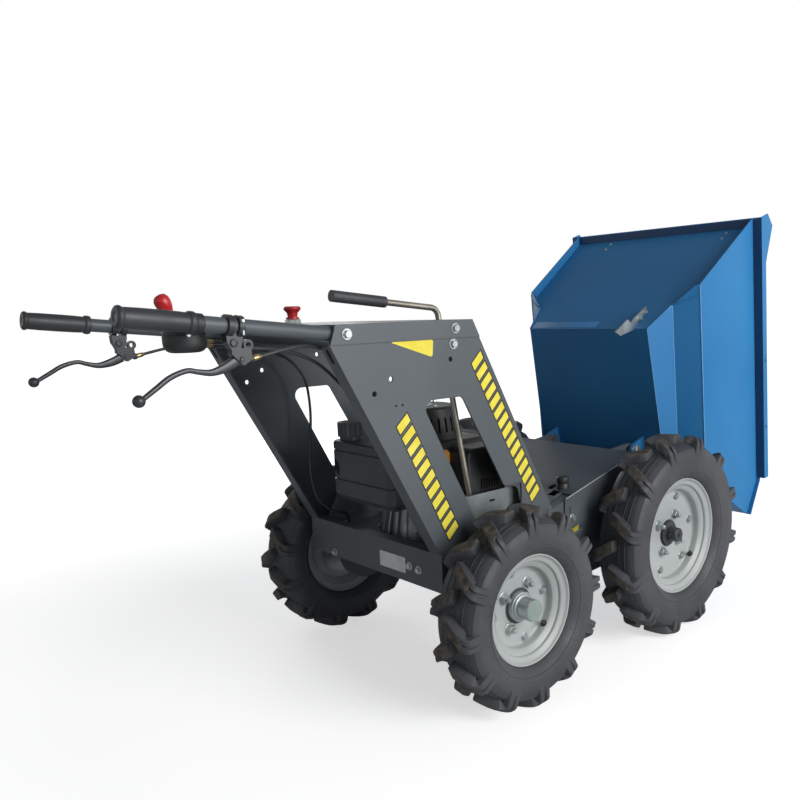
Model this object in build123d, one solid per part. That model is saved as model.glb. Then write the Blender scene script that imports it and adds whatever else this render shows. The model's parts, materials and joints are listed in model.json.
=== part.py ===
from build123d import *
import os
from math import cos, degrees, pi, radians, sin, tan

# Walk-behind mini dumper: a skip that tips forward over the front wheels, a leaning frame of two
# folded side plates with a vertical-shaft engine between them, and four chain-driven wheels on
# lugged tyres. While modelling, X points forward from the rear axle, Y left and Z up from the
# ground; the finished machine is then centred over the origin. All sizes are in millimetres.

# ---------------------------------------------------------------- wheels
wheelbase = 542.0
tyre_width = 112.0
track_half = 325.0            # centre plane of each tyre, from the middle of the machine
rim_width = 72.0
rim_sheet = 3.5
disc_thickness = 5.0
disc_inset = 40.0             # outer face of the disc, in from the outer edge of the rim
well_drop = 13.0              # depth of the drop centre below the bead seat
rim_flange = 14.5             # height of the rim's flanges above the bead seat
lug_height = 20.0
lugs_a_side = 12
lug_nose = 23.0               # width of each lug's blunt nose, near the middle of the tread
lug_width = 28.0              # its width at the shoulder
lug_sweep = 38.0              # how far it runs round the tyre on its way out
carcass_facets = 24           # flats round the carcass; lugs hide most of their corners
bead_gap = 0.3                # between the tyre and the rim
wheels = [
    # name, x of the axle, outer diameter over the lugs, bead seat diameter, nose diameter and length
    ("rear", 0.0, 416.0, 202.0, 45.0, 45.0),
    ("front", wheelbase, 492.0, 256.0, 35.0, 32.0),
]
sides = [("right", -1), ("left", 1)]
hub_flange_d = 126.0
hub_flange_thickness = 8.0
hub_boss_d = 60.0
hub_boss_length = 20.0
hub_hole_gap = 0.1
hub_shoulder = 5.0            # the boss stands this far out of the disc, under the hub's nose
axle_d = 30.0
axle_running_gap = 0.05
axle_reach = 90.0             # length of each hub's shaft inside its bearing tube
axle_tube_wall = 8.0
axle_tube_proud = 8.0         # how far the bearing tubes stand out of the chain cases

# ---------------------------------------------------------------- side plates and cover
plate_outer = 238.0           # outer face of each side plate
plate_sheet = 4.0
frame_top = 788.0             # top face of the cover
cover_sheet = 2.5
cover_skirt = 35.0
cover_rear_x = -353.0
plate_rear_x0 = -366.0        # rear edge of the plates where the cover's skirt ends
plate_front_x0 = -31.0        # front edge of the plates at the top
frame_lean = 28.7             # the plates lean forward towards their foot, from the vertical
plate_foot = 246.0
rear_flange = 32.0            # inward flange along each plate's rear edge
front_flange = 24.0            # the same along their front edge, from the top down to its foot
front_flange_foot = 372.0
window_top = 638.0
window_sill = 380.0
window_rear = -168.0          # rear edge of the window at its top
window_front = -62.0
window_rear_lean = 27.5
window_front_lean = 29.5
window_corner = 18.0
lobe_front = 104.0            # the window's foot reaches forward to here
lobe_height = 58.0
accessory_hole_d = 10.0
accessory_holes = [(-237.0, 686.0), (-276.0, 662.0), (-90.5, 713.0)]

# ---------------------------------------------------------------- chassis
deck_slope = 14.0
deck_front_x = 530.0
deck_front_z = 441.0
deck_sheet = 4.0
deck_rear_x = 150.0
deck_nose = 76.0
deck_notch = 30.0             # depth of the notches round the feet of the side plates
rail_depth = 80.0
rail_lip = 24.0
rail_sheet = 4.0
rail_heel = 360.0             # height of the knee where the plates' fronts meet the rails
rail_lip_short = 250.0        # the rails' lower lips stop this far behind the deck's nose
channel_x = -130.0            # rear face of the cross channel at the foot of the plates
channel_top = 326.0
channel_lip = 26.0
channel_sheet = 4.0
belly_z = 246.0
belly_sheet = 3.0
bed_z = 300.0                 # top of the tray that carries the engine
bed_sheet = 3.0
bed_half = 210.0
bed_side_top = 424.0
bed_front_x = 150.0
case_width = 34.0             # chain cases, against the inner faces of the plates and rails
case_radius = 58.0
buffer_d = 30.0
buffer_x = 302.0
buffer_y = 186.0
buffer_width = 30.0
latch_slot = (283.0, 338.0)   # the tub's latch hook drops through the deck here
latch_slot_half = 8.0
corner_slot = (256.0, 283.0)  # hand hole behind the right buffer
corner_slot_y = (-198.0, -172.0)

# ---------------------------------------------------------------- engine
engine_x = 10.0
part_gap = 0.5                # between the engine's bolted-on covers
gearbox_x = (-60.0, 120.0)
gearbox_half = 85.0
engine_flange_d = 200.0
engine_flange_thickness = 12.0
crankcase_foot = 84.0         # the casting's radius on its flange, and at its neck
crankcase_neck = 66.0
crankcase_top = 404.0
crankcase_ribs = 24
crankcase_rib = 7.0           # how far the cooling ribs stand out
shroud_top = 524.0
shroud_rear = 80.0            # from the engine's middle to each side of its shroud
shroud_front = 130.0
shroud_right = 118.0
shroud_corner = 30.0
recoil_d = 176.0
recoil_top = 596.0
recoil_slots = 28
tank_rear_x = -150.0
tank_half = 112.0
tank_top = 528.0
cap_d = 55.0
cap_top = 568.0
cap_ribs = 18
muffler_base = 420.0
muffler_top = 520.0
muffler_depth = 52.0
muffler_sides = (-150.0, 40.0)
filter_x = (-10.0, 105.0)     # air filter cover, ahead and abaft of the engine's middle
filter_depth = 65.0
filter_base = 410.0
filter_top = 516.0
filter_slot = 4.0
filter_slot_pitch = 8.0
filter_slot_inset = 26.0      # middle of each row of slots, in from the cover's top and foot
filter_slots = (5, 7)         # number of slots in the upper and the lower row

# ---------------------------------------------------------------- controls
tube_d = 25.4
tube_end = (-716.0, 234.0, 811.0)     # outer end of the left handle tube
tube_front = (-56.0, 210.0, 741.0)    # its end inside the frame
grip_d = 32.5
grip_length = 122.0
grip_collar_d = 43.0
grip_wall = 6.0
lever_thickness = 9.0
lever_ball_d = 19.0
pivot_x = -540.0
pivot_z = 766.0
pivot_back = {"right": (0.0, 0.0), "left": (-12.0, -5.0)}     # each lever's place on its tube
lever_line = [
    # from the pivot to the ball: ahead, above, half the blade's height
    (8.0, -27.0, 9.0), (-12.0, -37.0, 8.0), (-36.0, -43.5, 5.6), (-58.0, -41.0, 4.4), (-76.0, -38.0, 4.2),
    (-102.0, -46.0, 4.4), (-124.0, -60.0, 4.2), (-146.0, -74.5, 3.8),
]
lever_ball = (-152.0, -77.0)
bracket_outline = [
    # cast arm under the tube, from its top rear corner round its foot
    (-12.0, 16.0), (-11.0, 2.0), (-4.0, -11.0), (-4.0, -18.0), (15.0, -36.0), (31.0, -27.0), (29.0, -10.0),
    (12.5, -8.0), (17.0, 10.0), (17.0, 16.0),
]
bracket_half = 8.0
bracket_ring = (26.5, -4.0)
bracket_ring_d = 17.0
clamp_wall = 5.0              # bands round the handle tubes
adjuster_d = 9.0
adjuster_length = 20.0
cable_d = 6.0
cable_lead = 54.0             # straight run out of each cable stop
shift_y = -190.0
shift_rod_d = 12.0
shift_top = (-79.5, 811.0)
shift_foot = (0.5, 386.5)
shift_end_x = -325.5
shift_grip_d = 21.0
shift_grip_length = 118.0
shift_rise = 16.0             # the rod's end stands this much above its bend
shift_grip_over = 20.0        # length of rod inside the grip
stop_x = -291.0
stop_head_d = 34.0
throttle_x = -597.0
throttle_y = -178.0
throttle_d = 68.0
throttle_height = 34.0
throttle_top = 787.0
throttle_knob_d = 27.0

# ---------------------------------------------------------------- tub
hinge_x = 640.0
hinge_y = 146.0
hinge_pin_d = 20.0
hinge_eye = 38.0              # round ends of the brackets and ears about the pin
hinge_gap = 0.05
hinge_plate = 8.0
hinge_side_gap = 0.5
hinge_pin_proud = 8.0         # the pin's outer end, past the tub's ear
floor_lean = 79.0             # nose-down slope of the tub's floor as it rests on its stop
rim_lean = 5.5                # the rim runs this much nearer level than the floor
lowered_slope = 8.0           # nose-up slope of the floor when the tub is down on its buffers
floor_gap = 6.0               # between the deck's front edge and the floor of the lowered tub
buffer_gap = 0.3
hinge_u = 324.0               # hinge pin, forward of the floor's rear edge
hinge_n = -42.0               # hinge pin, below the floor
tub_sheet = 3.0
floor_half = 201.0            # half the floor's width at its rear edge
ledge_inner = (226.0, 79.0)   # half width and height of the fold between bevel and ledge
ledge_outer = (288.0, 112.0)  # half width and height of the fold between ledge and upper wall
rim_half = 298.0
rim_height = 368.0
rim_flange_width = 25.0
rim_lip = 22.0
rear_wall_slope = 31.0        # from the rim's normal
floor_length = 370.0
spout = (575.0, 312.0)        # front edge of the pouring lip: along, and above the floor's rear edge
spout_shoulder = 486.0        # where the side walls start to fall to the pouring lip
side_overhang = 25.0          # side walls reach this far past the rear wall
rim_ear = 38.0                # the lip's corners stand this much higher at the rear
rim_ear_length = 98.0
spout_strip = 10.0            # strip along the slope from the rim to the pouring lip
latch_y = -160.0
latch_sheet = 4.0


# ---------------------------------------------------------------- helpers
def box(x0, x1, y0, y1, z0, z1):
    return Pos((x0 + x1) / 2, (y0 + y1) / 2, (z0 + z1) / 2) * Box(x1 - x0, y1 - y0, z1 - z0)


def rod(start, end, diameter):
    start, end = Vector(*start), Vector(*end)
    return Solid.make_cylinder(diameter / 2, (end - start).length, Plane(start, z_dir=end - start))


def rounded(points, corners):
    # A polygon with fillets at the numbered corners of the list.
    outline = Polygon(*points, align=None)
    for index, radius in corners:
        corner = outline.vertices().sort_by_distance((*points[index], 0))[0]
        outline = fillet(corner, radius)
    return outline


def panel(points, y0, y1, corners=()):
    # An outline in X and Z, extruded across the machine from y0 to y1.
    plane = Plane((0, min(y0, y1), 0), x_dir=(1, 0, 0), z_dir=(0, -1, 0))
    return extrude(plane * rounded(points, corners), amount=abs(y1 - y0), dir=(0, 1, 0))


def mirrored(shape, side):
    # Shapes are drawn on the left; the right one is its mirror image.
    return shape if side > 0 else shape.mirror(Plane.XZ)


def both(make):
    # The same piece on the right and the left, as two solids of one node.
    return Compound([solid for name, side in sides for solid in mirrored(make(), side).solids()])


def one_each(make):
    # A right and a left piece that differ, each drawn on the left by its side's name.
    return Compound([solid for name, side in sides for solid in mirrored(make(name), side).solids()])


def spin(points, x, z):
    # A closed outline of (radius, y) points turned round an axle that runs along Y.
    plane = Plane((x, 0, z), x_dir=(0, 0, 1), z_dir=(-1, 0, 0))
    return revolve(plane * Polygon(*points, align=None), axis=Axis((x, 0, z), (0, 1, 0)))


def deck_z(x):
    return deck_front_z + (x - deck_front_x) * tan(radians(deck_slope))


def lowered_floor_z(x):
    # Underside of the floor when the tub is down.
    return deck_front_z + floor_gap + (x - deck_front_x) * tan(radians(lowered_slope))


hinge_z = lowered_floor_z(hinge_x) + hinge_n / cos(radians(lowered_slope))
case_outer = plate_outer - plate_sheet


def plate_rear_x(z):
    return plate_rear_x0 + (frame_top - cover_skirt - z) * tan(radians(frame_lean))


def plate_front_x(z):
    return plate_front_x0 + (frame_top - z) * tan(radians(frame_lean))


# ---------------------------------------------------------------- wheels
def polygon_ring(radius, y, corners):
    # Wire round the axle, starting off the middle of a lug.
    points = [Vector(radius, y, 0).rotate(Axis.Y, 6 + 360 * k / corners) for k in range(corners)]
    return Wire.make_polygon(points, close=True)


def ring_solid(profile, corners):
    # Solid of flats round the axle, through (radius, y) rings.
    return Solid.make_loft([polygon_ring(r, y, corners) for r, y in profile], ruled=True)


def lug(angle, side, tip, base):
    # Bar that runs from its nose over the crown to the shoulder and down the sidewall.
    half = tyre_width / 2
    stations = [
        # y, share of the sweep, width, inner radius, outer radius
        (-6.0, 0.0, lug_nose, base - 12, tip), (34.0, 0.66, lug_width - 1, base - 14, tip - 0.9),
        (half, 1.0, lug_width, base - 44, tip - 12),
    ]
    sections = []
    for y, share, width, inner, outer in stations:
        turn = -angle - degrees(share * lug_sweep / tip)
        corners = [(inner, -width / 2), (inner, width / 2), (outer, width / 2), (outer, -width / 2)]
        points = [Vector(r, side * y, t).rotate(Axis.Y, turn) for r, t in corners]
        sections.append(Wire.make_polygon(points, close=True))
    return Solid.make_loft(sections, ruled=True)


def tyre(x, outer_d, seat_d):
    # Carcass of flats with two rows of lugs, half a pitch apart, and a round hole's worth of bead.
    tip, half = outer_d / 2, tyre_width / 2
    base, wall = tip - lug_height, seat_d / 2 + rim_flange + 6
    outside = [(base, 34.0), (base - 24, half - 3), (wall + 12, half - 3), (wall, half - 12)]
    carcass = ring_solid([(r, -y) for r, y in reversed(outside)] + outside, carcass_facets)
    pitch = 360 / lugs_a_side
    lugs = []
    for row, side in enumerate((1, -1)):
        lugs += [lug((k + row / 2) * pitch, side, tip, base) for k in range(lugs_a_side)]
    round_up = 1 / cos(pi / carcass_facets)
    bore = (seat_d / 2 + bead_gap) * round_up
    flange = (seat_d / 2 + rim_flange + bead_gap) * round_up
    bead = rim_width / 2 - rim_sheet - bead_gap
    body = carcass.fuse(*lugs) - ring_solid([(bore, -half), (bore, half)], carcass_facets)
    for side in (1, -1):
        body -= ring_solid([(flange, side * bead), (flange, side * (half + 1))], carcass_facets)
    return Pos(x, track_half, outer_d / 2) * body


def rim(x, outer_d, seat_d):
    seat, half, t = seat_d / 2, rim_width / 2, rim_sheet
    flange = seat + rim_flange
    well = seat - well_drop
    outer, inner = track_half + half, track_half - half
    disc = outer - disc_inset
    hole = hub_boss_d / 2 + hub_hole_gap
    return spin([
        (flange, inner), (flange, inner + t), (seat, inner + t), (seat, inner + 16), (well, inner + 24),
        (well, outer - 24), (seat, outer - 16), (seat, outer - t), (flange, outer - t), (flange, outer),
        (seat - t, outer), (seat - t, outer - 14), (well - t, outer - 22),
        (well - t, disc), (hole, disc), (hole, disc - disc_thickness),
        (well - t, disc - disc_thickness), (well - t, inner + 22), (seat - t, inner + 14), (seat - t, inner),
    ], x, outer_d / 2)


def hub(x, outer_d, nose_d, nose_length):
    disc = track_half + rim_width / 2 - disc_inset
    back = disc - disc_thickness
    shaft_end = case_outer + axle_tube_proud - axle_reach
    return spin([
        (0, shaft_end), (axle_d / 2, shaft_end), (axle_d / 2, back - hub_boss_length),
        (hub_boss_d / 2, back - hub_boss_length), (hub_boss_d / 2, back - hub_flange_thickness),
        (hub_flange_d / 2, back - hub_flange_thickness), (hub_flange_d / 2, back),
        (hub_boss_d / 2, back), (hub_boss_d / 2, disc + hub_shoulder), (nose_d / 2, disc + hub_shoulder + 2),
        (nose_d / 2, disc + nose_length - 2), (nose_d / 2 - 2, disc + nose_length), (0, disc + nose_length),
    ], x, outer_d / 2)


def axle_tube(x, z):
    # Bearing tube across the machine; both hub shafts run in its ends.
    half = case_outer + axle_tube_proud
    tube = rod((x, -half, z), (x, half, z), axle_d + 2 * axle_tube_wall)
    return tube - rod((x, -half - 1, z), (x, half + 1, z), axle_d + 2 * axle_running_gap)


# ---------------------------------------------------------------- frame
def window_outline():
    # Leaning opening with a foot that reaches forward.
    foot_top = window_sill + lobe_height
    front_low = window_front + (window_top - foot_top) * tan(radians(window_front_lean))
    rear_low = window_rear + (window_top - window_sill) * tan(radians(window_rear_lean))
    return [(window_rear, window_top), (window_front, window_top), (front_low, foot_top),
            (lobe_front, foot_top), (lobe_front, window_sill), (rear_low, window_sill)]


def side_plate():
    t = plate_sheet
    top, shoulder = frame_top - cover_sheet, frame_top - cover_skirt
    foot_z = deck_z(plate_front_x(rail_heel)) - rail_depth
    outline = [
        (cover_rear_x, top), (plate_front_x(top), top), (plate_front_x(foot_z), foot_z),
        (plate_front_x(foot_z), plate_foot), (channel_x + channel_sheet, plate_foot),
        (channel_x + channel_sheet, channel_top), (plate_rear_x(channel_top), channel_top),
        (plate_rear_x(shoulder), shoulder),
    ]
    web = panel(outline, plate_outer - t, plate_outer)
    step = t / cos(radians(frame_lean))
    flange_top = shoulder - 4
    web += panel([(plate_rear_x(flange_top), flange_top), (plate_rear_x(flange_top) + step, flange_top),
                  (plate_rear_x(channel_top) + step, channel_top), (plate_rear_x(channel_top), channel_top)],
                 plate_outer - rear_flange, plate_outer)
    front_low = front_flange_foot
    web += panel([(plate_front_x(top) - step, top), (plate_front_x(top), top),
                  (plate_front_x(front_low), front_low), (plate_front_x(front_low) - step, front_low)],
                 plate_outer - front_flange, plate_outer)
    web -= panel(window_outline(), plate_outer - t - 1, plate_outer + 1,
                 [(0, window_corner), (1, window_corner - 4), (2, 10), (3, 6), (4, window_corner), (5, 10)])
    for x, z in accessory_holes:
        web -= rod((x, plate_outer - t - 1, z), (x, plate_outer + 1, z), accessory_hole_d)
    return web


def shift_lean():
    # How far the shift rod runs forward on each millimetre of its way down.
    return (shift_foot[0] - shift_top[0]) / (shift_top[1] - shift_foot[1])


def top_cover():
    t = cover_sheet
    outer = plate_outer + t
    low = frame_top - cover_skirt
    cover = box(cover_rear_x, plate_front_x(frame_top), -outer, outer, frame_top - t, frame_top)
    skirt = [(cover_rear_x, frame_top), (plate_front_x(frame_top), frame_top), (plate_front_x(low), low),
             (plate_rear_x(low), low)]
    for name, side in sides:
        cover += mirrored(panel(skirt, plate_outer, outer), side)
    rod_x = shift_top[0] + (shift_top[1] - frame_top) * shift_lean()
    return cover - box(rod_x - 40, rod_x + 14, shift_y - 10, shift_y + 10, frame_top - 10, frame_top + 1)


def rear_channel():
    t, x0, x1 = channel_sheet, channel_x, channel_x + channel_lip
    web = box(x0, x0 + t, -plate_outer, plate_outer, belly_z, channel_top)
    half = plate_outer - plate_sheet
    for low in (belly_z, channel_top - t):
        web += box(x0, x1, -half, half, low, low + t)
    return web


def engine_bed():
    # Zinc-plated tray on the channel and the chain cases, with a side wall up each side plate.
    t, x0, x1 = bed_sheet, channel_x + channel_sheet, channel_x + channel_lip + 1
    floor = box(x0, bed_front_x, -bed_half, bed_half, bed_z - t, bed_z)
    wall = panel([(x1, bed_z - t), (bed_front_x, bed_z - t), (bed_front_x - 30, bed_side_top),
                  (x0 + 80, bed_side_top), (x1, bed_z + 20)], bed_half - t, bed_half, [(2, 20), (3, 20)])
    return floor + wall + wall.mirror(Plane.XZ)


def deck():
    t, half = deck_sheet, plate_outer - rail_sheet
    x0, x1 = deck_rear_x, deck_front_x
    nose_z = deck_z(x1) - deck_nose
    profile = [(x0, deck_z(x0)), (x1, deck_z(x1)), (x1, nose_z), (x1 - t, nose_z),
               (x1 - t, deck_z(x1 - t) - t), (x0, deck_z(x0) - t)]
    tray = panel(profile, -half, half)
    for name, side in sides:
        foot_x = plate_front_x(deck_z(x0) - 10) + 2 * deck_notch
        notch = box(x0 - 1, foot_x, half - deck_notch, half + 1, deck_z(x0) - 40, deck_z(x0) + 60)
        tray -= mirrored(notch, side)
    x0, x1 = latch_slot
    y0, y1 = latch_y - latch_slot_half, latch_y + latch_slot_half
    tray -= box(x0, x1, y0, y1, deck_z(x0) - 30, deck_z(x1) + 30)
    x0, x1 = corner_slot
    return tray - box(x0, x1, *corner_slot_y, deck_z(x0) - 30, deck_z(x1) + 30)


def chassis_rail():
    t = rail_sheet
    x0, x1 = plate_front_x(deck_z(plate_front_x(rail_heel)) - rail_depth), deck_front_x
    x0 += 1
    web = panel([(x0, deck_z(x0) - rail_depth), (x1, deck_z(x1) - rail_depth), (x1, deck_z(x1)),
                 (x0, deck_z(x0))], plate_outer - t, plate_outer)
    end = x1 - rail_lip_short
    lip = panel([(x0, deck_z(x0) - rail_depth), (end, deck_z(end) - rail_depth),
                 (end, deck_z(end) - rail_depth + t), (x0, deck_z(x0) - rail_depth + t)],
                plate_outer, plate_outer + rail_lip)
    low, high, away = deck_z(x0) - rail_depth - 1, deck_z(x1), x0 - rail_depth
    plate_clear = panel([(away, low), (plate_front_x(low + 1) + 0.5, low), (plate_front_x(high) + 0.5, high),
                         (away, high)], plate_outer - t - 1, plate_outer + 1)
    return web + lip - plate_clear


def chain_case():
    # Deep box along each side: it holds the chain and carries the deck, the bed and both axles.
    (rear_x, rear_z), (front_x, front_z) = [(x, outer_d / 2) for name, x, outer_d, *rest in wheels]
    r, y0, y1 = case_radius, case_outer - case_width, case_outer
    case = panel([(rear_x, rear_z - r), (front_x, front_z - r), (front_x, front_z + r),
                  (rear_x, rear_z + r)], y0, y1)
    case += rod((rear_x, y0, rear_z), (rear_x, y1, rear_z), 2 * r)
    case += rod((front_x, y0, front_z), (front_x, y1, front_z), 2 * r)
    nose_x, heel_x = deck_front_x - deck_sheet, plate_front_x(deck_z(200)) + 4
    case += panel([(rear_x - r, rear_z), (nose_x, rear_z), (nose_x, deck_z(nose_x) - deck_sheet),
                   (heel_x, deck_z(heel_x) - deck_sheet), (bed_front_x, bed_z - bed_sheet),
                   (rear_x - r, bed_z - bed_sheet)], y0, y1)
    for name, x, outer_d, *rest in wheels:
        case -= rod((x, 0, outer_d / 2), (x, case_outer + 1, outer_d / 2), axle_d + 2 * axle_tube_wall)
    return case


def belly_pan():
    half = case_outer - case_width
    return box(channel_x + channel_lip, deck_front_x - 60, -half, half, belly_z, belly_z + belly_sheet)


def hinge_bracket():
    # Arm from the deck's nose, rounded over the pin that it carries.
    y, r = hinge_y - hinge_plate - hinge_side_gap, hinge_eye / 2
    low = deck_z(deck_front_x) - deck_nose
    arm = panel([(deck_front_x, low), (deck_front_x, hinge_z + r - 8), (hinge_x - r - 8, hinge_z + r),
                 (hinge_x, hinge_z + r), (hinge_x, hinge_z - r), (hinge_x - 12, hinge_z - r)],
                y - hinge_plate, y, [(2, 14)])
    arm += rod((hinge_x, y - hinge_plate, hinge_z), (hinge_x, y, hinge_z), hinge_eye)
    pin_end = hinge_y + hinge_plate + hinge_pin_proud
    return arm + rod((hinge_x, y - hinge_plate - 6, hinge_z), (hinge_x, pin_end, hinge_z), hinge_pin_d)


def gearbox():
    return box(*gearbox_x, -gearbox_half, gearbox_half, belly_z + belly_sheet, bed_z - bed_sheet)


def deck_buffer():
    # Rubber block between the deck and the lowered floor.
    x0, x1 = buffer_x - buffer_d / 2, buffer_x + buffer_d / 2
    profile = [(x0, deck_z(x0)), (x1, deck_z(x1)), (x1, lowered_floor_z(x1) - buffer_gap),
               (x0, lowered_floor_z(x0) - buffer_gap)]
    return panel(profile, buffer_y - buffer_width / 2, buffer_y + buffer_width / 2)


# ---------------------------------------------------------------- engine
def engine_block():
    # Base flange, and a crankcase casting that flares towards it, ribbed all round.
    low, high = bed_z + engine_flange_thickness, crankcase_top
    flange = rod((engine_x, 0, bed_z), (engine_x, 0, low), engine_flange_d)
    foot, neck = crankcase_foot, crankcase_neck
    pitch = 360 / crankcase_ribs
    rings = []
    for r, z in ((foot, low), (neck, high)):
        corners = [Vector(r, 0, z).rotate(Axis.Z, (k + 0.5) * pitch) for k in range(crankcase_ribs)]
        rings.append(Wire.make_polygon(corners, close=True))
    barrel = Solid.make_loft(rings, ruled=True)
    rib = panel([(neck - 20, low), (foot + crankcase_rib, low), (neck + crankcase_rib, high - 6),
                 (neck - 20, high - 6)], -2, 2)
    ribs = [Rot(0, 0, k * pitch) * rib for k in range(crankcase_ribs)]
    return flange + Pos(engine_x, 0, 0) * barrel.fuse(*[solid for rib in ribs for solid in rib.solids()])


def engine_shroud():
    x0, x1 = engine_x - shroud_rear, engine_x + shroud_front
    body = box(x0, x1, -shroud_right, tank_half, crankcase_top, shroud_top)
    body = fillet(body.edges().filter_by(Axis.Z), shroud_corner)
    return fillet(body.faces().sort_by(Axis.Z)[-1].edges(), 14)


def recoil_starter():
    # Domed housing with a ring of air slots round its flank.
    height = recoil_top - shroud_top
    body = Cone(recoil_d / 2, recoil_d / 2 - 12, height, align=(Align.CENTER, Align.CENTER, Align.MIN))
    body = fillet(body.faces().sort_by(Axis.Z)[-1].edges(), 10)
    slot = Pos(recoil_d / 2, 0, height * 0.45) * Box(28, 5, height * 0.45)
    slots = [Rot(0, 0, 360 * k / recoil_slots) * slot for k in range(recoil_slots)]
    return Pos(engine_x + 20, 0, shroud_top) * (body - slots)


def fuel_tank():
    # Moulded tank with a waist groove and a hand hole in its left rear corner; the cap is part of it.
    front = engine_x - shroud_rear - part_gap
    body = box(tank_rear_x, front, -tank_half, tank_half, crankcase_top - 12, tank_top)
    body = fillet(body.edges().filter_by(Axis.Z).sort_by(Axis.X)[:2], 24)
    body = chamfer(body.faces().sort_by(Axis.Z)[0].edges().sort_by(Axis.X)[:1], 16)
    body = fillet(body.faces().sort_by(Axis.Z)[-1].edges().sort_by(Axis.X)[:1], 6)
    waist = crankcase_top + 0.3 * (tank_top - crankcase_top)
    for z in (waist, tank_top - 22):
        groove = box(tank_rear_x - 1, front + 20, -tank_half - 1, tank_half + 1, z, z + 4)
        inner = box(tank_rear_x + 3, front + 30, -tank_half + 3, tank_half - 3, z - 1, z + 5)
        body -= groove - fillet(inner.edges().filter_by(Axis.Z).sort_by(Axis.X)[:2], 21)
    hole_y = tank_half - 20
    hole_z = (waist + tank_top - 22) / 2
    hole_plane = Plane((tank_rear_x - 1, hole_y, hole_z), x_dir=(0, 0, 1), z_dir=(1, 0, 0))
    body -= extrude(hole_plane * SlotOverall(28, 12), amount=16)
    cap_x, cap_y = tank_rear_x + 34, tank_half - 34
    neck_top = tank_top + 8
    grip = []
    for k in range(2 * cap_ribs):
        radius = cap_d / 2 - (2.5 if k % 2 else 0)
        grip.append(Vector(radius, 0).rotate(Axis.Z, 180 * k / cap_ribs))
    cap = extrude(Plane((cap_x, cap_y, neck_top)) * Polygon(*grip, align=None), amount=cap_top - neck_top)
    return body + rod((cap_x, cap_y, tank_top - 4), (cap_x, cap_y, neck_top), cap_d - 9) + cap


def muffler():
    x0 = engine_x + shroud_front + part_gap
    body = box(x0, x0 + muffler_depth, *muffler_sides, muffler_base, muffler_top)
    return fillet(body.edges().filter_by(Axis.Y), 16)


def air_filter():
    # Cover on the engine's right, with two rows of upright slots.
    (back, front), inner = filter_x, -shroud_right - part_gap
    body = box(engine_x + back, engine_x + front, inner - filter_depth, inner, filter_base, filter_top)
    body = fillet(body.edges().filter_by(Axis.Y), 20)
    body = fillet(body.faces().sort_by(Axis.Y)[0].edges(), 5)
    first = engine_x + front - 30
    rows = (filter_top - filter_slot_inset, filter_base + filter_slot_inset)
    for z, count in zip(rows, filter_slots):
        for k in range(count):
            body -= Pos(first - k * filter_slot_pitch, inner - filter_depth, z) * Box(filter_slot, 10, 24)
    return body


# ---------------------------------------------------------------- controls
def handle_tube():
    return rod(tube_front, tube_end, tube_d)


def tube_direction():
    return (Vector(*tube_end) - Vector(*tube_front)).normalized()


def tube_point(x):
    share = (x - tube_front[0]) / (tube_end[0] - tube_front[0])
    return tuple(a + share * (b - a) for a, b in zip(tube_front, tube_end))


def hand_grip():
    direction, end = tube_direction(), Vector(*tube_end)
    inner = end - direction * (grip_length - grip_wall)
    outer = end + direction * grip_wall
    grip = rod(inner, outer, grip_d)
    grip += rod(inner, inner + direction * 8, grip_collar_d - 4)
    grip += rod(outer - direction * 8, outer, grip_collar_d)
    return grip - rod(inner - direction, end, tube_d)


def lever_pivot(name):
    # Pivot of one hand lever, drawn on the left side.
    back, up = pivot_back[name]
    return Vector(pivot_x + back, tube_point(pivot_x + back)[1], pivot_z + up)


def bracket_panel(name, outline, half):
    pivot = lever_pivot(name)
    points = [(pivot.X + dx, pivot.Z + dz) for dx, dz in outline]
    return panel(points, pivot.Y - half, pivot.Y + half)


def adjuster(name):
    # Start and end of the threaded cable stop on one lever bracket, drawn on the left.
    pivot = lever_pivot(name)
    start = Vector(pivot.X + 27, pivot.Y, pivot.Z - 28)
    return start, start + Vector(1, 0, 0.2).normalized() * adjuster_length


def lever_bracket(name):
    # Two bands round the tube, the cast arm that carries the lever, a ring and the cable stop.
    pivot = lever_pivot(name)
    middle = Vector(*tube_point(pivot.X + 4))
    along = tube_direction()
    body = bracket_panel(name, bracket_outline, bracket_half)
    for shift in (-9, 9):
        body += rod(middle + along * (shift - 5), middle + along * (shift + 5), tube_d + 2 * clamp_wall)
    ring = Vector(pivot.X + bracket_ring[0], pivot.Y, pivot.Z + bracket_ring[1])
    body += rod(ring - Vector(0, 5, 0), ring + Vector(0, 5, 0), bracket_ring_d)
    body -= rod(ring - Vector(0, 6, 0), ring + Vector(0, 6, 0), bracket_ring_d - 8)
    body += rod(*adjuster(name), adjuster_d)
    return body - rod(middle - along * 30, middle + along * 30, tube_d)


def hand_lever(name):
    # Flat blade in an S, from the arm it hangs in to the ball at its end.
    pivot = lever_pivot(name)
    line = [Vector(pivot.X + dx, pivot.Z + dz) for dx, dz, half in lever_line]
    upper, lower = [], []
    for k, (dx, dz, half) in enumerate(lever_line):
        ahead, behind = line[min(k + 1, len(line) - 1)], line[max(k - 1, 0)]
        across = (ahead - behind).normalized().rotate(Axis.Z, -90) * half
        upper.append(line[k] + across)
        lower.append(line[k] - across)
    edges = [Spline(*upper), Line(upper[-1], lower[-1]), Spline(*reversed(lower)), Line(lower[0], upper[0])]
    plane = Plane((0, pivot.Y - lever_thickness / 2, 0), x_dir=(1, 0, 0), z_dir=(0, -1, 0))
    blade = extrude(plane * make_face(edges), amount=lever_thickness, dir=(0, 1, 0))
    blade -= bracket_panel(name, bracket_outline, bracket_half + 1)
    ball = Pos(pivot.X + lever_ball[0], pivot.Y, pivot.Z + lever_ball[1]) * Sphere(lever_ball_d / 2)
    return max(blade.solids(), key=lambda solid: solid.volume) + ball


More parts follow.
